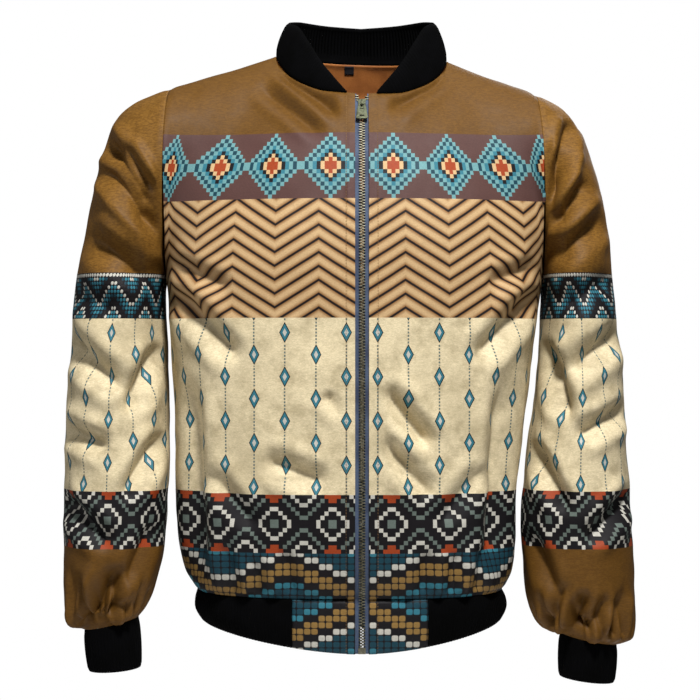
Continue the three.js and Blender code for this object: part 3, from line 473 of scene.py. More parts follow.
def section_points(row, height, side, face, edge, share):
    """Points of a level section: share 0 is at the centre line, share 1 at the side."""
    angle = share * math.pi / 2
    power = 2 / BODY_ROUNDNESS
    half = row.left if side == LEFT else row.right
    depth = row.front if face == FRONT else row.back
    seam = SEAM_GAP / 2
    across = edge + (half - edge) * np.sin(angle) ** power
    along = seam + (depth - seam) * np.cos(angle) ** power
    return np.stack(np.broadcast_arrays(side * across, face * along, height), -1)


def neck_points(side, angle):
    """Points of the neck seam. The angle runs from the front centre."""
    turn = np.radians(angle)
    reach = np.where(angle < 90, NECK_FRONT, NECK_BACK)
    tilt = -side * NECK_TILT * np.sin(turn)
    height = neck_height_at(angle).height + tilt
    return np.stack([side * NECK_HALF_WIDTH * np.sin(turn), -reach * np.cos(turn), height], -1)


def top_points(side, face, share):
    """Points of a panel's top edge: the neck seam first, then the shoulder seam."""
    first = math.degrees(math.asin(ZIP_OPENING / NECK_HALF_WIDTH)) if face == FRONT else 180
    on_neck = neck_points(side, mix(first, 90, np.minimum(share / NECK_SHARE, 1)))
    part = np.clip((share - NECK_SHARE) / (1 - NECK_SHARE), 0, 1)
    end_x, end_z = SHOULDER[side]
    start = neck_points(side, np.array(90.0))
    sag = SHOULDER_SAG * np.sin(part * math.pi)
    on_shoulder = np.stack([
        mix(start[0], side * end_x, part),
        np.zeros_like(part),
        mix(start[2], end_z, part) - sag,
    ], -1)
    points = np.where((share < NECK_SHARE)[:, None], on_neck, on_shoulder)
    points[:, 1] += face * SEAM_GAP / 2
    return points


def panel_points(side, face, edge, shares, levels):
    """A grid of points of a panel. Level 0 is the hem seam, 1 the armpit and 2 the top edge."""
    shares = np.asarray(shares, float)
    bottom = section_points(body_at(ARMPIT), ARMPIT, side, face, edge, shares)
    top = top_points(side, face, shares)
    rise = rise_at(shares)
    fullness = 1 if face == FRONT else BACK_FULLNESS
    rows = []
    for level in levels:
        if level <= 1:
            height = mix(HEM_SEAM, ARMPIT, level)
            rows.append(section_points(body_at(height), height, side, face, edge, shares))
            continue
        t = level - 1
        rows.append(np.stack([
            hermite(bottom[:, 0], top[:, 0], 0, 0, t),
            hermite(bottom[:, 1], top[:, 1], face * rise.bottom_out * fullness,
                    -face * rise.top_in * fullness, t),
            hermite(bottom[:, 2], top[:, 2], rise.bottom_up, rise.top_up, t),
        ], -1))
    return np.array(rows)


def grid_normals(grid, closed):
    """Outward unit normals of a grid of points, whose columns run from left to right outside."""
    if closed:
        across = np.roll(grid, -1, 1) - np.roll(grid, 1, 1)
    else:
        across = np.gradient(grid, axis=1)
    up = np.gradient(grid, axis=0)
    normals = np.cross(across, up)
    return normals / np.linalg.norm(normals, axis=-1, keepdims=True)


def runs_across(grid):
    """How far each point lies from the first column, along the cloth."""
    steps = np.linalg.norm(np.diff(grid, axis=1), axis=-1)
    return np.concatenate([np.zeros((len(grid), 1)), np.cumsum(steps, 1)], 1)


def runs_up(grid):
    return runs_across(grid.swapaxes(0, 1)).swapaxes(0, 1)


def line_runs(points):
    """How far each point of a line lies from its start."""
    return np.concatenate([[0], np.cumsum(np.linalg.norm(np.diff(points, axis=0), axis=1))])


def point_at(points, runs, run):
    """The point of a line at a length along it."""
    return np.array([np.interp(run, runs, points[:, axis]) for axis in range(3)])


def crease_depth(creases, grid, normals):
    """How deep the creases are at each point of a grid."""
    depth = np.zeros(grid.shape[:2])
    rows = [(face, *row) for face, rows in creases.items() for row in rows]
    for face, start, end, width, deep in rows:
        start = np.array(start)
        line = np.array(end) - start
        offset = grid[..., [0, 2]] - start
        length = np.linalg.norm(line)
        share = offset @ line / length ** 2
        along = soften(share * CREASE_FADE + CREASE_FADE_START)
        along = along * soften((1 - share) * CREASE_FADE + CREASE_FADE_START)
        across = np.abs(offset[..., 0] * line[1] - offset[..., 1] * line[0]) / length / width
        facing = soften(normals[..., 1] * face * CREASE_TURN)
        trough = np.exp(-across ** CREASE_SHARPNESS)
        trough = trough - CREASE_LIP * np.exp(-((across - CREASE_LIP_PLACE) / CREASE_LIP_WIDTH) ** 2)
        depth += deep * along * facing * trough
    return depth


def waves(grid, size, height, seed):
    shift = WAVE_SHIFT * seed
    flat = grid.reshape(-1, 3) / size
    heights = [noise.noise(Vector(point) + shift) for point in flat]
    return height * np.array(heights).reshape(grid.shape[:2])


def unevenness(grid, height, seed):
    """How far worn cloth waves in and out at each point of a grid."""
    return waves(grid, WAVE_SIZE, height, seed) + waves(grid, FINE_WAVE_SIZE, FINE_WAVE, seed)


def seam_dip(distance):
    return -SEAM_DIP * np.exp(-(distance / SEAM_DIP_WIDTH) ** 2)


def cloth_mesh(name, grid, across, closed=False):
    """A mesh through a grid of points, with the cloth's own run across and its height as UV map."""
    rows, columns = grid.shape[:2]
    mesh = bpy.data.meshes.new(name)
    spans = columns if closed else columns - 1
    faces = []
    corners = []
    for r in range(rows - 1):
        for c in range(spans):
            after = (c + 1) % columns
            faces.append((r * columns + c, r * columns + after,
                          (r + 1) * columns + after, (r + 1) * columns + c))
            corners.append(((r, c), (r, c + 1), (r + 1, c + 1), (r + 1, c)))
    mesh.from_pydata((grid.reshape(-1, 3) * MM).tolist(), [], faces)
    corners = np.array(corners).reshape(-1, 2)
    heights = grid[corners[:, 0], corners[:, 1] % columns, 2]
    layer = mesh.uv_layers.new(name="cloth")
    places = np.stack([across[corners[:, 0], corners[:, 1]], heights], -1) * MM
    layer.data.foreach_set("uv", places.ravel())
    mesh.polygons.foreach_set("use_smooth", [True] * len(faces))
    mesh.update()
    piece = bpy.data.objects.new(name, mesh)
    bpy.context.collection.objects.link(piece)
    return piece


def select_only(piece):
    for other in bpy.context.selected_objects:
        other.select_set(False)
    piece.select_set(True)
    bpy.context.view_layer.objects.active = piece


def thicken(piece, wall):
    """Gives cloth its thickness, inwards from its outer face, with the inside as a second finish."""
    modifier = piece.modifiers.new("wall", "SOLIDIFY")
    modifier.thickness = wall * MM
    modifier.offset = -1
    modifier.use_even_offset = False
    modifier.material_offset = 1
    modifier.material_offset_rim = 0
    select_only(piece)
    bpy.ops.object.modifier_apply(modifier=modifier.name)


def area_of(grid, closed=False):
    """The flat area of a grid of cloth, in square metres."""
    if closed:
        grid = np.concatenate([grid, grid[:, :1]], 1)
    a = grid[:-1, 1:] - grid[:-1, :-1]
    b = grid[1:, :-1] - grid[:-1, :-1]
    return float(np.linalg.norm(np.cross(a, b), axis=-1).sum() * MM * MM)


def declare_cloth(plain, closed=False, with_pieces=()):
    """Works out the flat area, width and length of a piece's plain form; nothing is done with them."""
    area = area_of(plain, closed)
    if closed:
        plain = np.concatenate([plain, plain[:, :1]], 1)
    width = float(runs_across(plain)[:, -1].max() * MM)
    length = float(runs_up(plain)[-1].max() * MM)
    area = min(area, width * length)


def finish_piece(piece, finishes, body, slot, *nodes):
    """Gives a piece its finishes and its body, and hides the nodes that it stands for. The slot is not
    used.
    """
    for finish in finishes:
        piece.data.materials.append(finish)
    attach(piece, body)
    if nodes:
        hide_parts(*nodes)


# Shader maths


class Reading:
    """A value of a finish, on which sums are written as on a number."""

    def __init__(self, finish, socket):
        self.finish = finish
        self.socket = socket

    def maths(self, operation, *others):
        inputs = dict(enumerate((self, *others)))
        return self.finish.node("Math", {"operation": operation}, inputs).out(0)

    def __add__(self, other):
        return self.maths("ADD", other)

    def __sub__(self, other):
        return self.maths("SUBTRACT", other)

    def __rsub__(self, other):
        return (self * -1) + other

    def __mul__(self, other):
        return self.maths("MULTIPLY", other)

    def __truediv__(self, other):
        return self.maths("DIVIDE", other)

    def __pow__(self, other):
        return self.maths("POWER", other)

    def __gt__(self, other):
        return self.maths("GREATER_THAN", other)

    def __lt__(self, other):
        return self.maths("LESS_THAN", other)

    def __mod__(self, other):
        return self.maths("FLOORED_MODULO", other)

    def __abs__(self):
        return self.maths("ABSOLUTE")

    def floor(self):
        return self.maths("FLOOR")

    def least(self, other):
        return self.maths("MINIMUM", other)

    def most(self, other):
        return self.maths("MAXIMUM", other)

    def fade(self, start, end):
        """0 up to start, 1 from end, and smooth between them."""
        inputs = {"Value": self, "From Min": start, "From Max": end}
        settings = {"interpolation_type": "SMOOTHSTEP"}
        return self.finish.node("MapRange", settings, inputs).out("Result")


class Nodes:
    """A node of a finish, whose outputs are read by name or number."""

    def __init__(self, finish, node):
        self.finish = finish
        self.node = node

    def out(self, name):
        return Reading(self.finish, self.node.outputs[name])


class Finish:
    """A material whose nodes are added by type, settings and inputs."""

    def __init__(self, name):
        self.material = bpy.data.materials.new(name)
        self.material.use_nodes = True
        self.tree = self.material.node_tree
        self.tree.nodes.clear()

    def node(self, kind, settings, inputs):
        node = self.tree.nodes.new("ShaderNode" + kind)
        for name, value in settings.items():
            if name == "stops":
                self.set_stops(node.color_ramp, value)
            else:
                setattr(node, name, value)
        for name, value in inputs.items():
            if isinstance(value, Reading):
                self.tree.links.new(value.socket, node.inputs[name])
            else:
                node.inputs[name].default_value = value
        return Nodes(self, node)

    def set_stops(self, ramp, stops):
        """Sets hard steps of colour on a ramp."""
        ramp.interpolation = "CONSTANT"
        while len(ramp.elements) > 1:
            ramp.elements.remove(ramp.elements[-1])
        ramp.elements[0].position = stops[0][0]
        ramp.elements[0].color = (*stops[0][1], 1)
        for place, color in stops[1:]:
            ramp.elements.new(place).color = (*color, 1)

    def blend(self, share, first, second):
        """One colour where share is 0 and the other where it is 1."""
        first, second = [self.colour(color) for color in (first, second)]
        inputs = {0: share, 6: first, 7: second}
        return self.node("Mix", {"data_type": "RGBA"}, inputs).out(2)

    def colour(self, color):
        return color if isinstance(color, Reading) else (*color[:3], 1)

    def object_place(self):
        return self.node("TexCoord", {}, {}).out("Object")

    def grain(self, place, scale, detail=2, roughness=0.5):
        inputs = {"Vector": place, "Scale": scale, "Detail": detail, "Roughness": roughness}
        return self.node("TexNoise", {}, inputs).out("Fac")

    def palette(self, value, colors):
        """Picks a colour by a whole number from 0."""
        stops = [(i / len(colors), color) for i, color in enumerate(colors)]
        place = (value + 0.5) / len(colors)
        return self.node("ValToRGB", {"stops": stops}, {"Fac": place}).out("Color")

    def bump(self, height, strength, distance):
        inputs = {"Height": height, "Strength": strength, "Distance": distance}
        return self.node("Bump", {}, inputs).out("Normal")

    def done(self, **sockets):
        """Closes the finish with a shader, whose sockets are named in small letters."""
        inputs = {}
        for name, value in sockets.items():
            socket = name.replace("_", " ").title().replace("Ior", "IOR")
            inputs[socket] = self.colour(value) if "Color" in socket else value
        shader = self.node("BsdfPrincipled", {}, inputs)
        surface = Reading(self, shader.node.outputs["BSDF"])
        self.node("OutputMaterial", {}, {"Surface": surface})
        return self.material


# Colours of the cloths, as light reflected
OCHRE = (0.2, 0.094, 0.014)
OCHRE_DARK = (0.085, 0.036, 0.004)
CREAM = (0.76, 0.64, 0.41)
CREAM_DARK = (0.34, 0.27, 0.15)
MAUVE = (0.085, 0.04, 0.034)
TEAL = (0.03, 0.16, 0.21)
TEAL_DARK = (0.008, 0.045, 0.065)
TEAL_PALE = (0.13, 0.29, 0.3)
RUST = (0.3, 0.045, 0.01)
GOLD = (0.24, 0.14, 0.04)
BONE = (0.54, 0.36, 0.18)
TAN = (0.24, 0.11, 0.035)
WHITE = (0.5, 0.48, 0.42)
BLACK = (0.006, 0.005, 0.006)
GREY_GREEN = (0.12, 0.15, 0.13)

# Grain of the printed cloth: how many spots there are to a metre
BLOTCH_SCALE = 11
MOTTLE_SCALE = 45
HEATHER_SCALE = 190
FIBRE_SCALE = 520
HEATHER_STRETCH = (1, 1, 4)
# Painted shade: how far the ochre of the yoke and of the sleeves below the black band is darkened, where
# they lie in shadow
PAINTED_SHADE_SHARE = 0.6

# Zones of the print: the height on the cloth at which each one ends
YOKE_EDGE = -92
CHEST_BAND_EDGE = -166
ZIGZAG_EDGE = -296
FIELD_EDGE = -488
BAND_EDGE = -552
SLEEVE_BAND_TOP = -245
SLEEVE_BAND_EDGE = -296

# Stepped diamonds of the chest band, counted in square cells from the middle outwards
CELL = 4.6
DIAMOND_CELLS = 15
DIAMOND_ROW = 7.5
DIAMOND_COLORS = [RUST, RUST, BONE, BLACK, TEAL, TEAL_PALE, TEAL_DARK, TEAL_PALE]

# Zigzag stripes
ZIGZAG_PERIOD = 96
ZIGZAG_SLOPE = 0.62
STRIPE = 15

# Lozenges in offset rows on the cream field, and the dotted threads between them
LOZENGE_ACROSS = 34
LOZENGE_UP = 48
LOZENGE_NARROWNESS = 1.9
LOZENGE_COLORS = [(11.5, BLACK), (9.5, TEAL), (4.5, WHITE)]
DOTTED_HALF_WIDTH = 0.9
DOTTED_CLEARANCE = 12
DOTTED_PITCH = 3.6
DOTTED_SHARE = 0.62

# Stepped rings of the black band
RING_CELLS = 14
RING_COLORS = [BLACK, GREY_GREEN, BLACK, BLACK, WHITE, BLACK, BLACK]
RUST_CORNER = 2.2

# Mosaic of squarish beads above the hem
BEAD = 8
BEAD_RISE = 7.2
BEAD_SQUARENESS = 17
MOSAIC_COLUMNS = 20
MOSAIC_ROWS = 16
MOSAIC_COLORS = [TEAL_DARK, TEAL_DARK, TEAL, BLACK, GOLD, GOLD, BLACK, WHITE, TEAL_DARK]

# Round beads of the sleeve's band
BEAD_WAVE_CELLS = 12
BEAD_WAVE_COLORS = [TEAL, TEAL, WHITE, BLACK, BLACK, TEAL_DARK]
DOT_ROUNDNESS = 5
WHITE_ROW = 5


def cell_of(place, size):
    """Which cell a place is in."""
    return (place / size).floor()


def off_middle(place, size):
    """How far a place is from the middle of its cell, as a share of the cell."""
    return (place / size) % 1 - 0.5


def from_middle(cell, count):
    """How many cells one lies from the middle of a motif of so many cells."""
    return abs(cell % count - (count - 1) / 2)


def chest_diamonds(finish, across, height):
    column = from_middle(cell_of(across, CELL), DIAMOND_CELLS)
    row = cell_of(height - CHEST_BAND_EDGE, CELL)
    diamond = column + abs(row - DIAMOND_ROW).floor()
    chest = finish.palette(diamond.least(DIAMOND_CELLS // 2), DIAMOND_COLORS)
    return finish.blend(diamond > DIAMOND_CELLS / 2, chest, MAUVE)


def zigzag_stripes(finish, across, height):
    to_turn = abs(off_middle(across, ZIGZAG_PERIOD)) * ZIGZAG_PERIOD
    crown = 1 - abs(off_middle(height + to_turn * ZIGZAG_SLOPE, STRIPE)) * 2
    stripes = finish.blend(crown.fade(0.12, 0.85), TAN, BONE)
    return finish.blend(crown.fade(0.26, 0.12), stripes, BLACK)


def lozenge_field(finish, across, height, cream):
    line = cell_of(across, LOZENGE_ACROSS)
    offset = (line % 2) * (LOZENGE_UP / 2)
    to_side = abs(off_middle(across, LOZENGE_ACROSS)) * LOZENGE_ACROSS
    to_middle = abs(off_middle(height + offset, LOZENGE_UP)) * LOZENGE_UP
    lozenge = to_side * LOZENGE_NARROWNESS + to_middle
    field = cream
    for reach, color in LOZENGE_COLORS:
        field = finish.blend(lozenge < reach, field, color)
    on_dot = ((height / DOTTED_PITCH) % 1) < DOTTED_SHARE
    dotted = (to_side < DOTTED_HALF_WIDTH) * (to_middle > DOTTED_CLEARANCE) * on_dot
    return finish.blend(dotted, field, GREY_GREEN)


def ringed_band(finish, across, height):
    middle = (RING_CELLS - 1) / 2
    column = from_middle(cell_of(across, CELL), RING_CELLS)
    row = abs(cell_of(height - BAND_EDGE, CELL) - middle)
    band = finish.palette((column + row) % (RING_CELLS / 2), RING_COLORS)
    return finish.blend((column + middle - row) < RUST_CORNER, band, RUST)


def bead_mosaic(finish, across, height):
    """The beads above the hem, and how far each stands out."""
    up = height - HEM_BOTTOM
    column = from_middle(cell_of(across, BEAD), MOSAIC_COLUMNS) * 0.5
    row = from_middle(cell_of(up, BEAD_RISE), MOSAIC_ROWS)
    ring = (column.floor() + row).floor() % len(MOSAIC_COLORS)
    beads = finish.palette(ring, MOSAIC_COLORS)
    to_corner = off_middle(across, BEAD) ** 4 + off_middle(up, BEAD_RISE) ** 4
    dome = 1 - to_corner * BEAD_SQUARENESS
    return finish.blend(dome.fade(0, 0.7), BLACK, beads), dome


def sleeve_beadwork(finish, across, height):
    """The beads of the sleeve's band, with a white row on top, and how far each stands out."""
    up = height - SLEEVE_BAND_EDGE
    column = from_middle(cell_of(across, CELL), BEAD_WAVE_CELLS).floor()
    wave = (column + cell_of(up, CELL)) % len(BEAD_WAVE_COLORS)
    beads = finish.palette(wave, BEAD_WAVE_COLORS)
    dome = 1 - (off_middle(across, CELL) ** 2 + off_middle(up, CELL) ** 2) * DOT_ROUNDNESS
    beads = finish.blend(dome.fade(0, 0.3), BLACK, beads)
    top_row = (height > SLEEVE_BAND_TOP - WHITE_ROW) * (dome > 0.1)
    return finish.blend(top_row, beads, WHITE), dome


def zoned(finish, height, top, zones):
    """Colours one below the other, each from its height down."""
    color = top
    for edge, zone in zones:
        color = finish.blend(height < edge, color, zone)
    return color


def printed_cloth(name, on_sleeve):
    finish = Finish(name)
    place = finish.object_place()
    uv = finish.node("UVMap", {"uv_map": "cloth"}, {}).out("UV")
    split = finish.node("SeparateXYZ", {}, {"Vector": uv})
    across = abs(split.out("X") / MM)
    height = split.out("Y") / MM

    streaked = finish.node("Mapping", {}, {"Vector": place, "Scale": HEATHER_STRETCH}).out("Vector")
    mottle = finish.grain(place, MOTTLE_SCALE, 5, 0.65)
    heather = finish.grain(streaked, HEATHER_SCALE, 3, 0.7).fade(0.57, 0.42)
    fibre = finish.grain(streaked, FIBRE_SCALE, 2)
    blotch = finish.grain(place, BLOTCH_SCALE, 3, 0.6).fade(0.5, 0.72)

    ochre = finish.blend(mottle.fade(0.66, 0.3) * 0.3, OCHRE, OCHRE_DARK)
    ochre = finish.blend(heather * 0.6, ochre, OCHRE_DARK)
    # Painted shade: a darker ochre for the yoke and the sleeves below the black band, where they lie in
    # shadow
    painted_shade_ochre = finish.blend(PAINTED_SHADE_SHARE, ochre, OCHRE_DARK)
    cream = finish.blend(mottle.fade(0.6, 0.28) * 0.6, CREAM, CREAM_DARK)
    cream = finish.blend(blotch * 0.4, cream, CREAM_DARK)
    cream = finish.blend(heather * 0.2, cream, CREAM_DARK)
    field = lozenge_field(finish, across, height, cream)
    band = ringed_band(finish, across, height)

    if on_sleeve:
        beadwork, dome = sleeve_beadwork(finish, across, height)
        color = zoned(finish, height, ochre, [
            (SLEEVE_BAND_TOP, beadwork),
            (SLEEVE_BAND_EDGE, field),
            (FIELD_EDGE, band),
            # painted shade: darker ochre on the sleeve below the black band
            (BAND_EDGE, painted_shade_ochre),
        ])
        beaded = (height < SLEEVE_BAND_TOP) * (height > SLEEVE_BAND_EDGE)
    else:
        mosaic, dome = bead_mosaic(finish, across, height)
        # Painted shade: the yoke at the top gets the darker ochre
        color = zoned(finish, height, painted_shade_ochre, [
            (YOKE_EDGE, chest_diamonds(finish, across, height)),
            (CHEST_BAND_EDGE, zigzag_stripes(finish, across, height)),
            (ZIGZAG_EDGE, field),
            (FIELD_EDGE, band),
            (BAND_EDGE, mosaic),
        ])
        beaded = height < BAND_EDGE
    color = finish.blend(fibre.fade(0.75, 0.25) * 0.25, color, BLACK)
    weave = fibre * 0.4 + dome.most(0) * beaded
    return finish.done(
        base_color=color, roughness=mottle.fade(0.3, 0.7) * 0.1 + 0.55, specular_ior_level=0.16,
        normal=finish.bump(weave, 0.35, 0.0006),
    )


def plain_cloth(name, color, dark, rough, grain_scale, gloss):
    finish = Finish(name)
    place = finish.object_place()
    mottle = finish.grain(place, 30, 4, 0.6)
    thread = finish.grain(place, grain_scale, 2)
    shade = finish.blend(mottle.fade(0.65, 0.3), color, dark)
    shade = finish.blend(thread.fade(0.7, 0.3) * 0.4, shade, dark)
    return finish.done(
        base_color=shade, roughness=mottle * 0.15 + rough, specular_ior_level=gloss,
        normal=finish.bump(thread, 0.4, 0.0004),
    )


def metal(name, color, dark, rough):
    finish = Finish(name)
    place = finish.object_place()
    tarnish = finish.grain(place, 260, 4, 0.6)
    shade = finish.blend(tarnish.fade(0.6, 0.35), color, dark)
    return finish.done(
        base_color=shade, metallic=1, roughness=tarnish * 0.25 + rough,
        normal=finish.bump(tarnish, 0.15, 0.0002),
    )


BODY_PRINT = printed_cloth("printed body cloth", False)
SLEEVE_PRINT = printed_cloth("printed sleeve cloth", True)
RIB_KNIT = plain_cloth(
    "black rib knit", color=(0.0014, 0.0014, 0.0017), dark=(0.0006, 0.0006, 0.0006),
    rough=0.85, grain_scale=900, gloss=0.035,
)
LINING = plain_cloth(
    "orange-brown lining", color=(0.42, 0.15, 0.035), dark=(0.26, 0.085, 0.02),
    rough=0.5, grain_scale=700, gloss=0.3,
)
LABEL = plain_cloth(
    "bare label", color=(0.016, 0.017, 0.022), dark=(0.006, 0.006, 0.01),
    rough=0.7, grain_scale=900, gloss=0.3,
)
TAPE = plain_cloth(
    "blue-grey tape", color=(0.07, 0.1, 0.16), dark=(0.03, 0.04, 0.075),
    rough=0.7, grain_scale=900, gloss=0.3,
)
THREAD = plain_cloth(
    "sewing thread", color=(0.17, 0.09, 0.03), dark=(0.08, 0.04, 0.012),
    rough=0.6, grain_scale=1500, gloss=0.3,
)
TEETH = metal("pale brass teeth", color=(0.2, 0.19, 0.14), dark=(0.08, 0.075, 0.05), rough=0.4)
BRASS = metal("antique brass", color=(0.1, 0.11, 0.07), dark=(0.05, 0.05, 0.032), rough=0.5)

# What each cloth is made of: its wall, its outer and inner finish, and its slot
BODY_CLOTH = (SHELL_WALL, [BODY_PRINT, LINING], "printed_shell")
SLEEVE_CLOTH = (SHELL_WALL, [SLEEVE_PRINT, LINING], "printed_shell")
BAND_CLOTH = (RIB_WALL, [RIB_KNIT, RIB_KNIT], "black_rib")
COLLAR_CLOTH = (COLLAR_WALL, [RIB_KNIT, RIB_KNIT], "black_rib")
TAPE_CLOTH = (TAPE_WALL, [TAPE, TAPE], "zip_tape")


def cloth_piece(name, node, cloth, grid, across, plain, closed=False):
    wall, finishes, slot = cloth
    piece = cloth_mesh(name, grid, across, closed)
    thicken(piece, wall)
    finish_piece(piece, finishes, "jacket", slot, node)
    declare_cloth(plain, closed)


# Shells of the body

LEVELS = np.concatenate([
    (np.arange(LOW_ROWS) / LOW_ROWS) ** ROW_CROWDING,
    1 + np.arange(HIGH_ROWS + 1) / HIGH_ROWS,
])
SHARES = np.arange(PANEL_COLUMNS + 1) / PANEL_COLUMNS


def placket_columns():
    """Places of the close columns beside the zip, from the edge of the cloth."""
    return np.arange(0, PLACKET_WIDTH + PLACKET_MARGIN, PLACKET_STEP)


def front_shares():
    """Shares of a front's columns, close together beside the zip."""
    reach = placket_columns() / (body_at(ARMPIT).left - ZIP_OPENING)
    first = np.arcsin(reach ** (BODY_ROUNDNESS / 2)) * 2 / math.pi
    return np.concatenate([first, np.linspace(first[-1], 1, PANEL_COLUMNS)[1:]])


FRONT_SHARES = front_shares()


def half_panel(side, face, edge):
    """A front or half the back, with its columns from left to right as seen from outside."""
    grid = panel_points(side, face, edge, FRONT_SHARES if face == FRONT else SHARES, LEVELS)
    return grid[:, ::-1] if side == face else grid


def eased(grid):
    """Rounds a panel off below the corner where its neck edge meets the shoulder."""
    up = runs_up(grid)
    across = runs_across(grid)
    to_edge = np.minimum(across, across[:, -1:] - across)
    free = soften((up[-1] - up) / EASE_REACH) * soften(to_edge / EASE_REACH)
    free = (free * soften((np.abs(grid[..., 0]) - EASE_REACH) / EASE_REACH))[:, 1:-1, None]
    grid = grid.copy()
    for _ in range(EASE_ROUNDS):
        middle = (grid[:, :-2] + 2 * grid[:, 1:-1] + grid[:, 2:]) / 4
        grid[:, 1:-1] = mix(grid[:, 1:-1], middle, free)
    return grid


def dressed(grid, creases, seed, seams, zip_edge=None):
    """A panel's grid with its creases, its unevenness, its dips into the named seams and its placket."""
    grid = eased(grid)
    normals = grid_normals(grid, False)
    across = runs_across(grid)
    up = runs_up(grid)
    distances = {
        "first": across, "last": across[:, -1:] - across,
        "bottom": up, "top": up[-1] - up,
    }
    depth = crease_depth(creases, grid, normals) + unevenness(grid, PANEL_WAVE, seed)
    if zip_edge:
        depth = depth * soften((np.abs(grid[..., 0]) - CREASE_FREE) / CREASE_FREE)
    for seam in seams:
        depth = depth * soften(distances[seam] / PANEL_EASE) + seam_dip(distances[seam])
    if zip_edge:
        depth = depth + placket_relief(distances[zip_edge])
    return grid + normals * depth[..., None]


def placket_relief(from_zip):
    edge = PLACKET_WIDTH + PLACKET_RAISE_EDGE
    doubled = PLACKET_RAISE * soften((edge - from_zip) / (2 * PLACKET_RAISE_EDGE))
    groove = PLACKET_GROOVE * np.exp(-((from_zip - PLACKET_WIDTH) / PLACKET_GROOVE_WIDTH) ** 2)
    return doubled - groove


def stitch_line(grid, from_zip):
    """Points of a grid at the placket's line of stitches, from the bottom up."""
    points = []
    for row, distance in zip(grid, from_zip):
        order = np.argsort(distance)
        place = [np.interp(PLACKET_WIDTH, distance[order], row[order, axis]) for axis in range(3)]
        points.append(place)
    return np.array(points)


def make_front(side):
    plain = half_panel(side, FRONT, ZIP_OPENING)
    outer_seam, zip_edge = ("first", "last") if side == LEFT else ("last", "first")
    seams = [outer_seam, "top", "bottom"]
    grid = dressed(plain, CREASES["front", side], FRONT_SEED[side], seams, zip_edge)
    across = runs_across(plain)
    from_zip = across[:, -1:] - across if side == LEFT else across
    name = SIDE_NAME[side]
    printed = (ZIP_OPENING + from_zip) * side
    cloth_piece(f"printed_front_{name}", f"front_{name}", BODY_CLOTH, grid, printed, plain)
    return stitch_line(grid, from_zip)


def make_back():
    right_half = half_panel(RIGHT, BACK, 0)
    left_half = half_panel(LEFT, BACK, 0)
    plain = np.concatenate([right_half, left_half[:, 1:]], 1)
    grid = dressed(plain, CREASES["back", BACK], BACK_SEED, ["first", "last", "top", "bottom"])
    across = runs_across(plain)
    across = across - across[:, PANEL_COLUMNS:PANEL_COLUMNS + 1]
    cloth_piece("printed_back", "back", BODY_CLOTH, grid, across, plain)
    return grid


def make_lining(back):
    """The lining of the upper back, made from the back's own points, moved in."""
    rows = LEVELS > LINING_BOTTOM_LEVEL
    half = PANEL_COLUMNS // 2
    cut = back[rows][:, half:-half]
    normals = grid_normals(cut, False)
    face = cut - normals * (SHELL_WALL + SEAM_GAP)
    piece = cloth_mesh("lining_of_back", face, runs_across(face))
    thicken(piece, LINING_WALL)
    finish_piece(piece, [LINING, LINING], "jacket", "lining", "back_lining")
    declare_cloth(face, with_pieces=[make_label(piece)])


def make_label(lining):
    rows = []
    for height in np.linspace(LABEL_LOW, LABEL_HIGH, LABEL_ROWS):
        row = []
        for across in np.linspace(LABEL_RIGHT, LABEL_LEFT, LABEL_COLUMNS):
            _, place, _, _ = lining.ray_cast(Vector((across, 0, height)) * MM, Vector((0, 1, 0)))
            row.append(np.array(place) / MM - [0, SEAM_GAP + LABEL_WALL, 0])
        rows.append(row)
    grid = np.array(rows)
    piece = cloth_mesh("bare_label", grid, runs_across(grid))
    thicken(piece, -LABEL_WALL)
    finish_piece(piece, [LABEL, LABEL], "jacket", "label", "size_label")
    return piece


# Sleeves and cuffs


def oval_points(side, row, angle):
    turn = np.radians(angle)
    out = (1 + np.cos(turn)) / 2
    depth = np.where(np.sin(turn) > 0, row.front, row.back)
    return np.stack([
        side * mix(row.in_x, row.out_x, out),
        -row.forward - depth * np.sin(turn),
        mix(row.in_z, row.out_z, out),
    ], -1)


def armhole_points(side, angles):
    """Points of the armhole seam. Angle 0 is at the shoulder, 180 at the armpit, front half first."""
    points = []
    for angle in angles:
        face = FRONT if angle <= 180 else BACK
        down = (angle if angle <= 180 else 360 - angle) / 180
        points.append(panel_points(side, face, 0, [1.0], [2 - down])[0, 0])
    points = np.array(points)
    points[:, 0] += side * ARMHOLE_GAP
    return points


def round_angles(side, count):
    angles = np.arange(count) * 360 / count
    return angles if side == RIGHT else (360 - angles) % 360


def gather_depth(angles, rise):
    depth = np.zeros(rise.shape)
    for middle, reach, width, deep in GATHERS:
        turn = np.abs((angles - middle + 540) % 360 - 180)
        across = turn * GATHER_MM_PER_DEGREE / width
        ends = soften(rise / GATHER_START) * soften((reach - rise) / (reach - GATHER_START))
        depth += deep * ends * np.exp(-across ** 2)[None, :]
    return depth


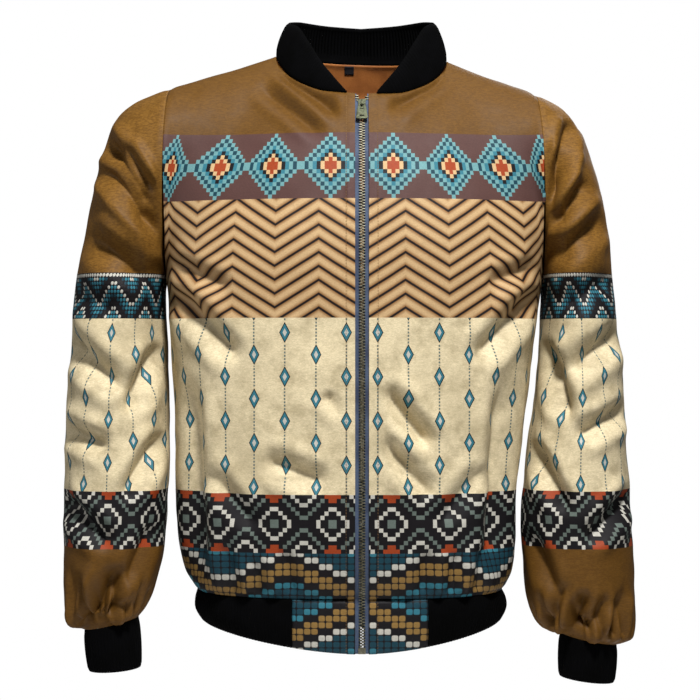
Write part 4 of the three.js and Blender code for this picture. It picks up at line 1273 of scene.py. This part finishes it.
def make_sleeve(side):
    sleeve_at = SLEEVES[side]
    angles = round_angles(side, SLEEVE_ROUND)
    shares = np.arange(SLEEVE_LENGTH_ROWS + 1) / SLEEVE_LENGTH_ROWS
    start = oval_points(side, sleeve_at(0), angles)
    seam = armhole_points(side, angles)
    rows = []
    for share in shares:
        kept = 1 - soften(share / SLEEVE_BLEND)
        rows.append(oval_points(side, sleeve_at(share), angles) + (seam - start) * kept)
    plain = np.array(rows)
    normals = grid_normals(plain, True)
    rise = plain[..., 2] - plain[-1:, :, 2]
    down = runs_up(plain)
    depth = crease_depth(CREASES["sleeve", side], plain, normals)
    depth = depth + unevenness(plain, SLEEVE_WAVE, SLEEVE_SEED[side]) + gather_depth(angles, rise)
    to_cuff = down[-1:] - down
    depth = depth * soften(down / ARMHOLE_EASE) * soften(to_cuff / CUFF_EASE) + seam_dip(down)
    grid = plain + normals * depth[..., None]
    steps = np.linalg.norm(np.roll(plain, -1, 1) - plain, axis=-1).mean(0)
    across = np.concatenate([[0], np.cumsum(steps)])
    across = np.repeat(across[None], len(plain), 0)
    name = SIDE_NAME[side]
    cloth_piece(f"printed_sleeve_{name}", f"sleeve_{name}", SLEEVE_CLOTH, grid, across, plain,
                closed=True)


def rib_relief(columns):
    """How far each column of a knit stands out: round ribs with narrow grooves."""
    turn = np.arange(columns) / RIB_STEPS * 2 * math.pi
    return RIB_HEIGHT * ((1 - np.cos(turn)) / 2) ** RIB_FULLNESS


def rib_depth(columns, from_seam, swell, rounding):
    """How far a rib band stands out: its ribs fade at the seam, and its free edge is rounded."""
    ribs = rib_relief(columns)[None] * soften(from_seam / RIB_FADE)[:, None]
    edge = soften((from_seam - RIB_ROUNDING_START) / (1 - RIB_ROUNDING_START))
    return ribs + (swell * np.sin(from_seam * math.pi) - rounding * edge)[:, None]


def tucked_edge(plain, row, closed, tuck_in):
    """The seam edge of a rib band, moved in behind the shell and up, as a grid of one row."""
    normals = grid_normals(plain, closed)
    return (plain[row] - normals[row] * tuck_in + [0, 0, TUCK_UP])[None]


def make_cuff(side):
    seam = SLEEVES[side](1)
    edge = SimpleNamespace(**dict(zip(SLEEVE_COLUMNS.split()[1:], CUFF_EDGES[side])))
    round_length = line_runs(oval_points(side, edge, np.arange(361.0)))[-1]
    columns = RIB_STEPS * round(round_length / RIB_PITCH)
    angles = round_angles(side, columns)
    top = oval_points(side, seam, angles) - [0, 0, SEAM_GAP]
    bottom = oval_points(side, edge, angles)
    shares = np.arange(RIB_ROWS + 1) / RIB_ROWS
    plain = np.array([mix(top, bottom, share) for share in shares])
    plain = np.concatenate([tucked_edge(plain, 0, True, CUFF_TUCK_IN), plain])
    shares = np.concatenate([[0], shares])
    depth = rib_depth(columns, shares, CUFF_SWELL, CUFF_ROUNDING)
    grid = plain + grid_normals(plain, True) * depth[..., None]
    across = np.repeat(np.linspace(0, round_length, columns + 1)[None], len(grid), 0)
    name = SIDE_NAME[side]
    cloth_piece(f"rib_cuff_{name}", f"cuff_{name}", BAND_CLOTH, grid, across, plain,
                closed=True)


# Collar


def collar_row(runs, rise):
    """Points of the collar at one rise. Run goes from the right tip round the back to the left."""
    points = []
    for run in runs:
        side = RIGHT if run < 0.5 else LEFT
        angle = mix(COLLAR_TIP, 180, 1 - abs(2 * run - 1))
        seam = neck_points(side, np.array(float(angle)))
        rim = rim_at(angle)
        top = np.array([side * float(rim.x), float(rim.y), float(rim.height)])
        low = seam + [0, 0, SEAM_GAP]
        swell = COLLAR_SWELL * math.sin(rise * math.pi)
        swell = swell * float(soften((angle - COLLAR_TIP) / COLLAR_SWELL_START))
        out = np.array([seam[0], seam[1], 0])
        points.append(mix(low, top, rise) + out / np.linalg.norm(out) * swell)
    return np.array(points)


def ribbed_places(points_at):
    """Places from 0 to 1 along a rib band, some to each rib, at even steps of its length."""
    places = np.linspace(0, 1, PLACES_ON_BAND)
    lengths = line_runs(points_at(places))
    count = RIB_STEPS * round(lengths[-1] / RIB_PITCH)
    return np.interp(np.linspace(0, lengths[-1], count + 1), lengths, places)


def make_collar():
    runs = ribbed_places(lambda places: collar_row(places, 0.5))
    shares = np.arange(RIB_ROWS + 1) / RIB_ROWS
    plain = np.array([collar_row(runs, rise) for rise in shares])
    tucked = plain[0] * [COLLAR_TUCK_IN, COLLAR_TUCK_IN, 1] - [0, 0, COLLAR_TUCK_DOWN]
    plain = np.concatenate([tucked[None], plain])
    shares = np.concatenate([[0], shares])
    normals = grid_normals(plain, False)
    at_top = soften((1 - shares) * COLLAR_TOP_FADE + COLLAR_TOP_RIBS)
    fade = (soften(shares * COLLAR_SEAM_FADE) * at_top)[:, None]
    rounding = COLLAR_ROUNDING * soften((shares - COLLAR_ROUNDING_START) * COLLAR_ROUNDING_SLOPE)
    depth = rib_relief(len(runs))[None] * fade - rounding[:, None]
    grid = plain + normals * depth[..., None]
    cloth_piece("rib_collar", "collar", COLLAR_CLOTH, grid, runs_across(plain), plain)


# Hem band and tabs


def share_across(row, side, across):
    """The share of a level section at a distance from the zip line."""
    half = row.left if side == LEFT else row.right
    reach = (across - ZIP_OPENING) / (half - ZIP_OPENING)
    return np.arcsin(reach ** (BODY_ROUNDNESS / 2)) * 2 / math.pi


def hem_lift(share, drop):
    """How far the hem is lifted, more toward the sides and at its lower edge."""
    return HEM_SIDE_LIFT * drop * np.sin(share * math.pi / 2) ** HEM_LIFT_POWER


def hem_row(runs, drop):
    """Points of the hem band. Run goes from the right tab round the back to the left tab."""
    points = []
    for run in runs:
        side = RIGHT if run < 0.5 else LEFT
        height = mix(HEM_SEAM - SEAM_GAP, HEM_BOTTOM, drop)
        row = hem_at(height)
        quarter = 2 - 2 * abs(2 * run - 1)
        start = share_across(row, side, TAB_WIDTH[side] + SEAM_GAP)
        at_front = quarter < 1
        share = mix(start, 1, quarter) if at_front else 2 - quarter
        lifted = height + hem_lift(share, drop)
        face = FRONT if at_front else BACK
        edge = ZIP_OPENING if at_front else 0
        points.append(section_points(row, lifted, side, face, edge, np.array(float(share))))
    return np.array(points)


def make_hem_band():
    runs = ribbed_places(lambda places: hem_row(places, 0.5))
    shares = np.arange(RIB_ROWS + 1) / RIB_ROWS
    plain = np.array([hem_row(runs, 1 - rise) for rise in shares])
    plain = np.concatenate([plain, tucked_edge(plain, -1, False, HEM_TUCK_IN)])
    from_seam = 1 - np.concatenate([shares, [1]])
    depth = rib_depth(len(runs), from_seam, HEM_SWELL, HEM_ROUNDING)
    grid = plain + grid_normals(plain, False) * depth[..., None]
    cloth_piece("rib_hem_band", "hem_band", BAND_CLOTH, grid, runs_across(plain), plain)


def make_tab(side):
    first = placket_columns()
    full_width = TAB_WIDTH[side] + TAB_OVERLAP - ZIP_OPENING
    reach = np.concatenate([first, np.linspace(first[-1], full_width, TAB_COLUMNS)[1:]])
    rows = []
    for drop in np.linspace(1, 0, TAB_ROWS):
        height = mix(HEM_SEAM - SEAM_GAP, HEM_BOTTOM, drop)
        row = hem_at(height)
        row.front = row.front + TAB_PROUD
        shares = share_across(row, side, ZIP_OPENING + reach)
        lifted = height + hem_lift(shares, drop)
        rows.append(section_points(row, lifted, side, FRONT, ZIP_OPENING, shares))
    plain = np.array(rows)
    if side == LEFT:
        plain = plain[:, ::-1]
    normals = grid_normals(plain, False)
    across = runs_across(plain)
    up = runs_up(plain)
    outer = across if side == LEFT else across[:, -1:] - across
    dips = TAB_OUTER_DIP * seam_dip(outer) + seam_dip(up[-1:] - up) + TAB_HEM_DIP * seam_dip(up)
    from_zip = across[:, -1:] - across if side == LEFT else across
    grid = plain + normals * (dips + placket_relief(from_zip))[..., None]
    name = SIDE_NAME[side]
    printed = (ZIP_OPENING + from_zip) * side
    cloth_piece(f"hem_tab_cloth_{name}", f"hem_tab_{name}", BODY_CLOTH, grid, printed, plain)
    return stitch_line(grid, from_zip)


# Zip


def zip_line():
    """Places on the front edge from hem to neck in the plane of the zip, and the ways out and up."""
    heights = np.linspace(HEM_BOTTOM, HEM_SEAM, ZIP_ROWS_ON_TAB + 1)[:-1]
    on_tab = np.stack([np.zeros(ZIP_ROWS_ON_TAB), -hem_at(heights).front - TAB_PROUD, heights], -1)
    on_body = panel_points(LEFT, FRONT, ZIP_OPENING, [0.0], LEVELS)[:, 0] * [0, 1, 1]
    points = np.concatenate([on_tab, on_body])
    runs = line_runs(points)

    def at(run):
        along = point_at(points, runs, min(run + 2, runs[-1])) - point_at(points, runs, max(run - 2, 0))
        up = along / np.linalg.norm(along)
        return point_at(points, runs, run), np.array([0, -up[2], up[1]]), up

    return at, runs[-1]


def zip_spread(run, length):
    """How far the two sides of the zip have parted, near its upper end."""
    return TAPE_SPREAD * float(soften((run - length + TAPE_SPREAD_LENGTH) / TAPE_SPREAD_LENGTH))


def make_tape(side, at, length):
    rows = []
    for run in np.linspace(0, length, TAPE_ROWS):
        place, out, _ = at(run)
        inner = TAPE_INNER + zip_spread(run, length)
        edges = np.sort(side * np.linspace(inner, TAPE_OUTER, TAPE_COLUMNS))
        base = place - out * (SHELL_WALL + TAPE_GAP)
        rows.append([base + [x, 0, 0] for x in edges])
    grid = np.array(rows)
    name = SIDE_NAME[side]
    cloth_piece(f"tape_{name}", f"zip_tape_{name}", TAPE_CLOTH, grid, runs_across(grid), grid)


def solid_piece(name, size, bevel):
    """A bevelled block at the origin, for a piece that is then shaped or copied."""
    bpy.ops.object.select_all(action="DESELECT")
    bpy.ops.mesh.primitive_cube_add(size=1)
    piece = bpy.context.active_object
    piece.name = name
    piece.scale = Vector(size) * MM
    bpy.ops.object.transform_apply(location=False, rotation=False, scale=True)
    modifier = piece.modifiers.new("bevel", "BEVEL")
    modifier.width = bevel * MM
    modifier.segments = 2
    bpy.ops.object.modifier_apply(modifier=modifier.name)
    bpy.ops.object.shade_smooth_by_angle(angle=math.radians(BLOCK_ANGLE))
    return piece


def copies(piece, name, matrices):
    """One mesh with a copy of a piece at each place. The first piece is used up."""
    bpy.ops.object.select_all(action="DESELECT")
    placed = []
    for matrix in matrices:
        copy = bpy.data.objects.new(name, piece.data.copy())
        copy.data.transform(matrix)
        bpy.context.collection.objects.link(copy)
        copy.select_set(True)
        placed.append(copy)
    bpy.context.view_layer.objects.active = placed[0]
    bpy.ops.object.join()
    placed[0].name = name
    bpy.data.objects.remove(piece)
    return placed[0]


def placing(place, across, out, up):
    """A matrix that puts a piece at a place, with its x across, its -y out and its z up."""
    matrix = np.eye(4)
    matrix[:3, 0] = across
    matrix[:3, 1] = -out
    matrix[:3, 2] = up
    matrix[:3, 3] = place * MM
    return Matrix(matrix.tolist())


def make_teeth(at, length):
    matrices = []
    count = int((length - STOP_SIZE[2]) / TOOTH_PITCH)
    for i in range(2 * count):
        side = RIGHT if i % 2 else LEFT
        run = STOP_SIZE[2] + (i + 1) * TOOTH_PITCH / 2
        in_slider = abs(length - SLIDER_DROP - run) < SLIDER_HALF_LENGTH
        if in_slider or run > length - TOOTHLESS_END:
            continue
        place, out, up = at(run)
        middle = TOOTH_MIDDLE + zip_spread(run, length)
        place = place + ACROSS * side * middle - out * (SHELL_WALL + TAPE_GAP)
        matrices.append(placing(place, ACROSS, out, up))
    teeth = copies(solid_piece("tooth", TOOTH_SIZE, TOOTH_BEVEL), "zip_teeth", matrices)
    finish_piece(teeth, [TEETH], "jacket", "zip_teeth", "zip_chain")
    place, out, up = at(STOP_SIZE[2] / 2)
    stop = solid_piece("stop", STOP_SIZE, STOP_BEVEL)
    matrix = placing(place - out * (SHELL_WALL + TAPE_GAP), ACROSS, out, up)
    stop = copies(stop, "zip_bottom_stop", [matrix])
    finish_piece(stop, [TEETH], "jacket", "zip_metal")


def refined(node, name, body, bevel):
    """A copy of a hard node with its corners rounded."""
    piece = bpy.data.objects.new(name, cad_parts[node].data.copy())
    piece.data.materials.clear()
    bpy.context.collection.objects.link(piece)
    select_only(piece)
    bpy.ops.object.mode_set(mode="EDIT")
    bpy.ops.mesh.select_all(action="SELECT")
    bpy.ops.mesh.remove_doubles(threshold=0.00001)
    bpy.ops.mesh.dissolve_limited(angle_limit=math.radians(FLAT_ANGLE))
    bpy.ops.object.mode_set(mode="OBJECT")
    modifier = piece.modifiers.new("bevel", "BEVEL")
    modifier.width = bevel * MM
    modifier.segments = 2
    modifier.limit_method = "ANGLE"
    bpy.ops.object.modifier_apply(modifier=modifier.name)
    bpy.ops.object.shade_smooth_by_angle(angle=math.radians(ROUND_ANGLE))
    finish_piece(piece, [BRASS], body, "zip_metal", node)


def make_stitches(lines):
    """Short threads along the placket lines."""
    bpy.ops.object.select_all(action="DESELECT")
    bpy.ops.mesh.primitive_uv_sphere_add(segments=6, ring_count=5, radius=1)
    stitch = bpy.context.active_object
    stitch.scale = Vector(STITCH_SIZE) * MM
    bpy.ops.object.transform_apply(location=False, rotation=False, scale=True)
    matrices = []
    for line in lines:
        runs = line_runs(line)
        for run in np.arange(STITCH_PITCH, runs[-1] - STITCH_PITCH, STITCH_PITCH):
            place = point_at(line, runs, run)
            along = point_at(line, runs, run + 1) - place
            up = along / np.linalg.norm(along)
            across = ACROSS - up * (ACROSS @ up)
            across = across / np.linalg.norm(across)
            matrices.append(placing(place, across, np.cross(across, up), up))
    piece = copies(stitch, "placket_stitches", matrices)
    finish_piece(piece, [THREAD], "jacket", "printed_shell")


# Camera, light and floor

camera = bpy.data.objects.new("camera", bpy.data.cameras.new("camera"))
bpy.context.collection.objects.link(camera)
camera.location = (VIEW_MIDDLE[0], -VIEW_DISTANCE, VIEW_MIDDLE[1])
camera.rotation_euler = (math.pi / 2, 0, 0)
camera.data.sensor_fit = "HORIZONTAL"
camera.data.sensor_width = SENSOR
camera.data.lens = SENSOR * VIEW_DISTANCE / VIEW_WIDTH
bpy.context.scene.camera = camera

stitch_lines = [make_front(LEFT), make_front(RIGHT)]
back_grid = make_back()
for side in (LEFT, RIGHT):
    make_sleeve(side)
    make_cuff(side)
    stitch_lines.append(make_tab(side))
make_collar()
make_hem_band()
make_lining(back_grid)
along_zip, zip_length = zip_line()
for side in (LEFT, RIGHT):
    make_tape(side, along_zip, zip_length)
make_teeth(along_zip, zip_length)
refined("zip_slider", "slider", "jacket", 0.25)
refined("zip_pull", "pull_tab", "pull", 0.3)
make_stitches(stitch_lines)


def area_light(name, place, target, size, power):
    light = bpy.data.lights.new(name, "AREA")
    light.shape = "DISK"
    light.size = size
    light.energy = power
    lamp = bpy.data.objects.new(name, light)
    bpy.context.collection.objects.link(lamp)
    lamp.location = place
    lamp.rotation_euler = (Vector(target) - Vector(place)).to_track_quat("-Z", "Y").to_euler()


area_light("key light", place=(0.25, -1.45, 1.5), target=(0, 0, -0.35), size=0.35, power=88)
area_light("side light", place=(-2.0, -0.7, 0.0), target=(0, 0, -0.35), size=0.8, power=9)
area_light("fill light", place=(1.6, -1.9, 0.3), target=(0, 0, -0.35), size=1.2, power=5)
area_light("top light", place=(0.2, 0.4, 1.6), target=(0, 0, -0.2), size=1.0, power=7)
area_light("back light", place=(0.6, 2.1, 0.6), target=(0, 0, -0.3), size=1.4, power=18)

world = bpy.data.worlds.new("studio")
bpy.context.scene.world = world
world.use_nodes = True
sky = world.node_tree.nodes["Background"]
sky.inputs["Color"].default_value = (1, 1, 1, 1)
sky.inputs["Strength"].default_value = SKY_LIGHT
seen = world.node_tree.nodes.new("ShaderNodeBackground")
seen.inputs["Color"].default_value = (1, 1, 1, 1)
either = world.node_tree.nodes.new("ShaderNodeMixShader")
rays = world.node_tree.nodes.new("ShaderNodeLightPath")
links = world.node_tree.links
links.new(rays.outputs["Is Camera Ray"], either.inputs["Fac"])
links.new(sky.outputs["Background"], either.inputs[1])
links.new(seen.outputs["Background"], either.inputs[2])
links.new(either.outputs["Shader"], world.node_tree.nodes["World Output"].inputs["Surface"])
bpy.context.scene.view_settings.view_transform = "Standard"

floor_mesh = bpy.data.meshes.new("floor")
floor_mesh.from_pydata(
    [(x * FLOOR_REACH, y * FLOOR_REACH, FLOOR_HEIGHT) for x, y in ((-1, -1), (1, -1), (1, 1), (-1, 1))],
    [], [(0, 1, 2, 3)],
)
floor = bpy.data.objects.new("floor", floor_mesh)
bpy.context.collection.objects.link(floor)
floor_finish = Finish("pale floor")
floor.data.materials.append(floor_finish.done(base_color=(0.9, 0.9, 0.9), roughness=0.95))
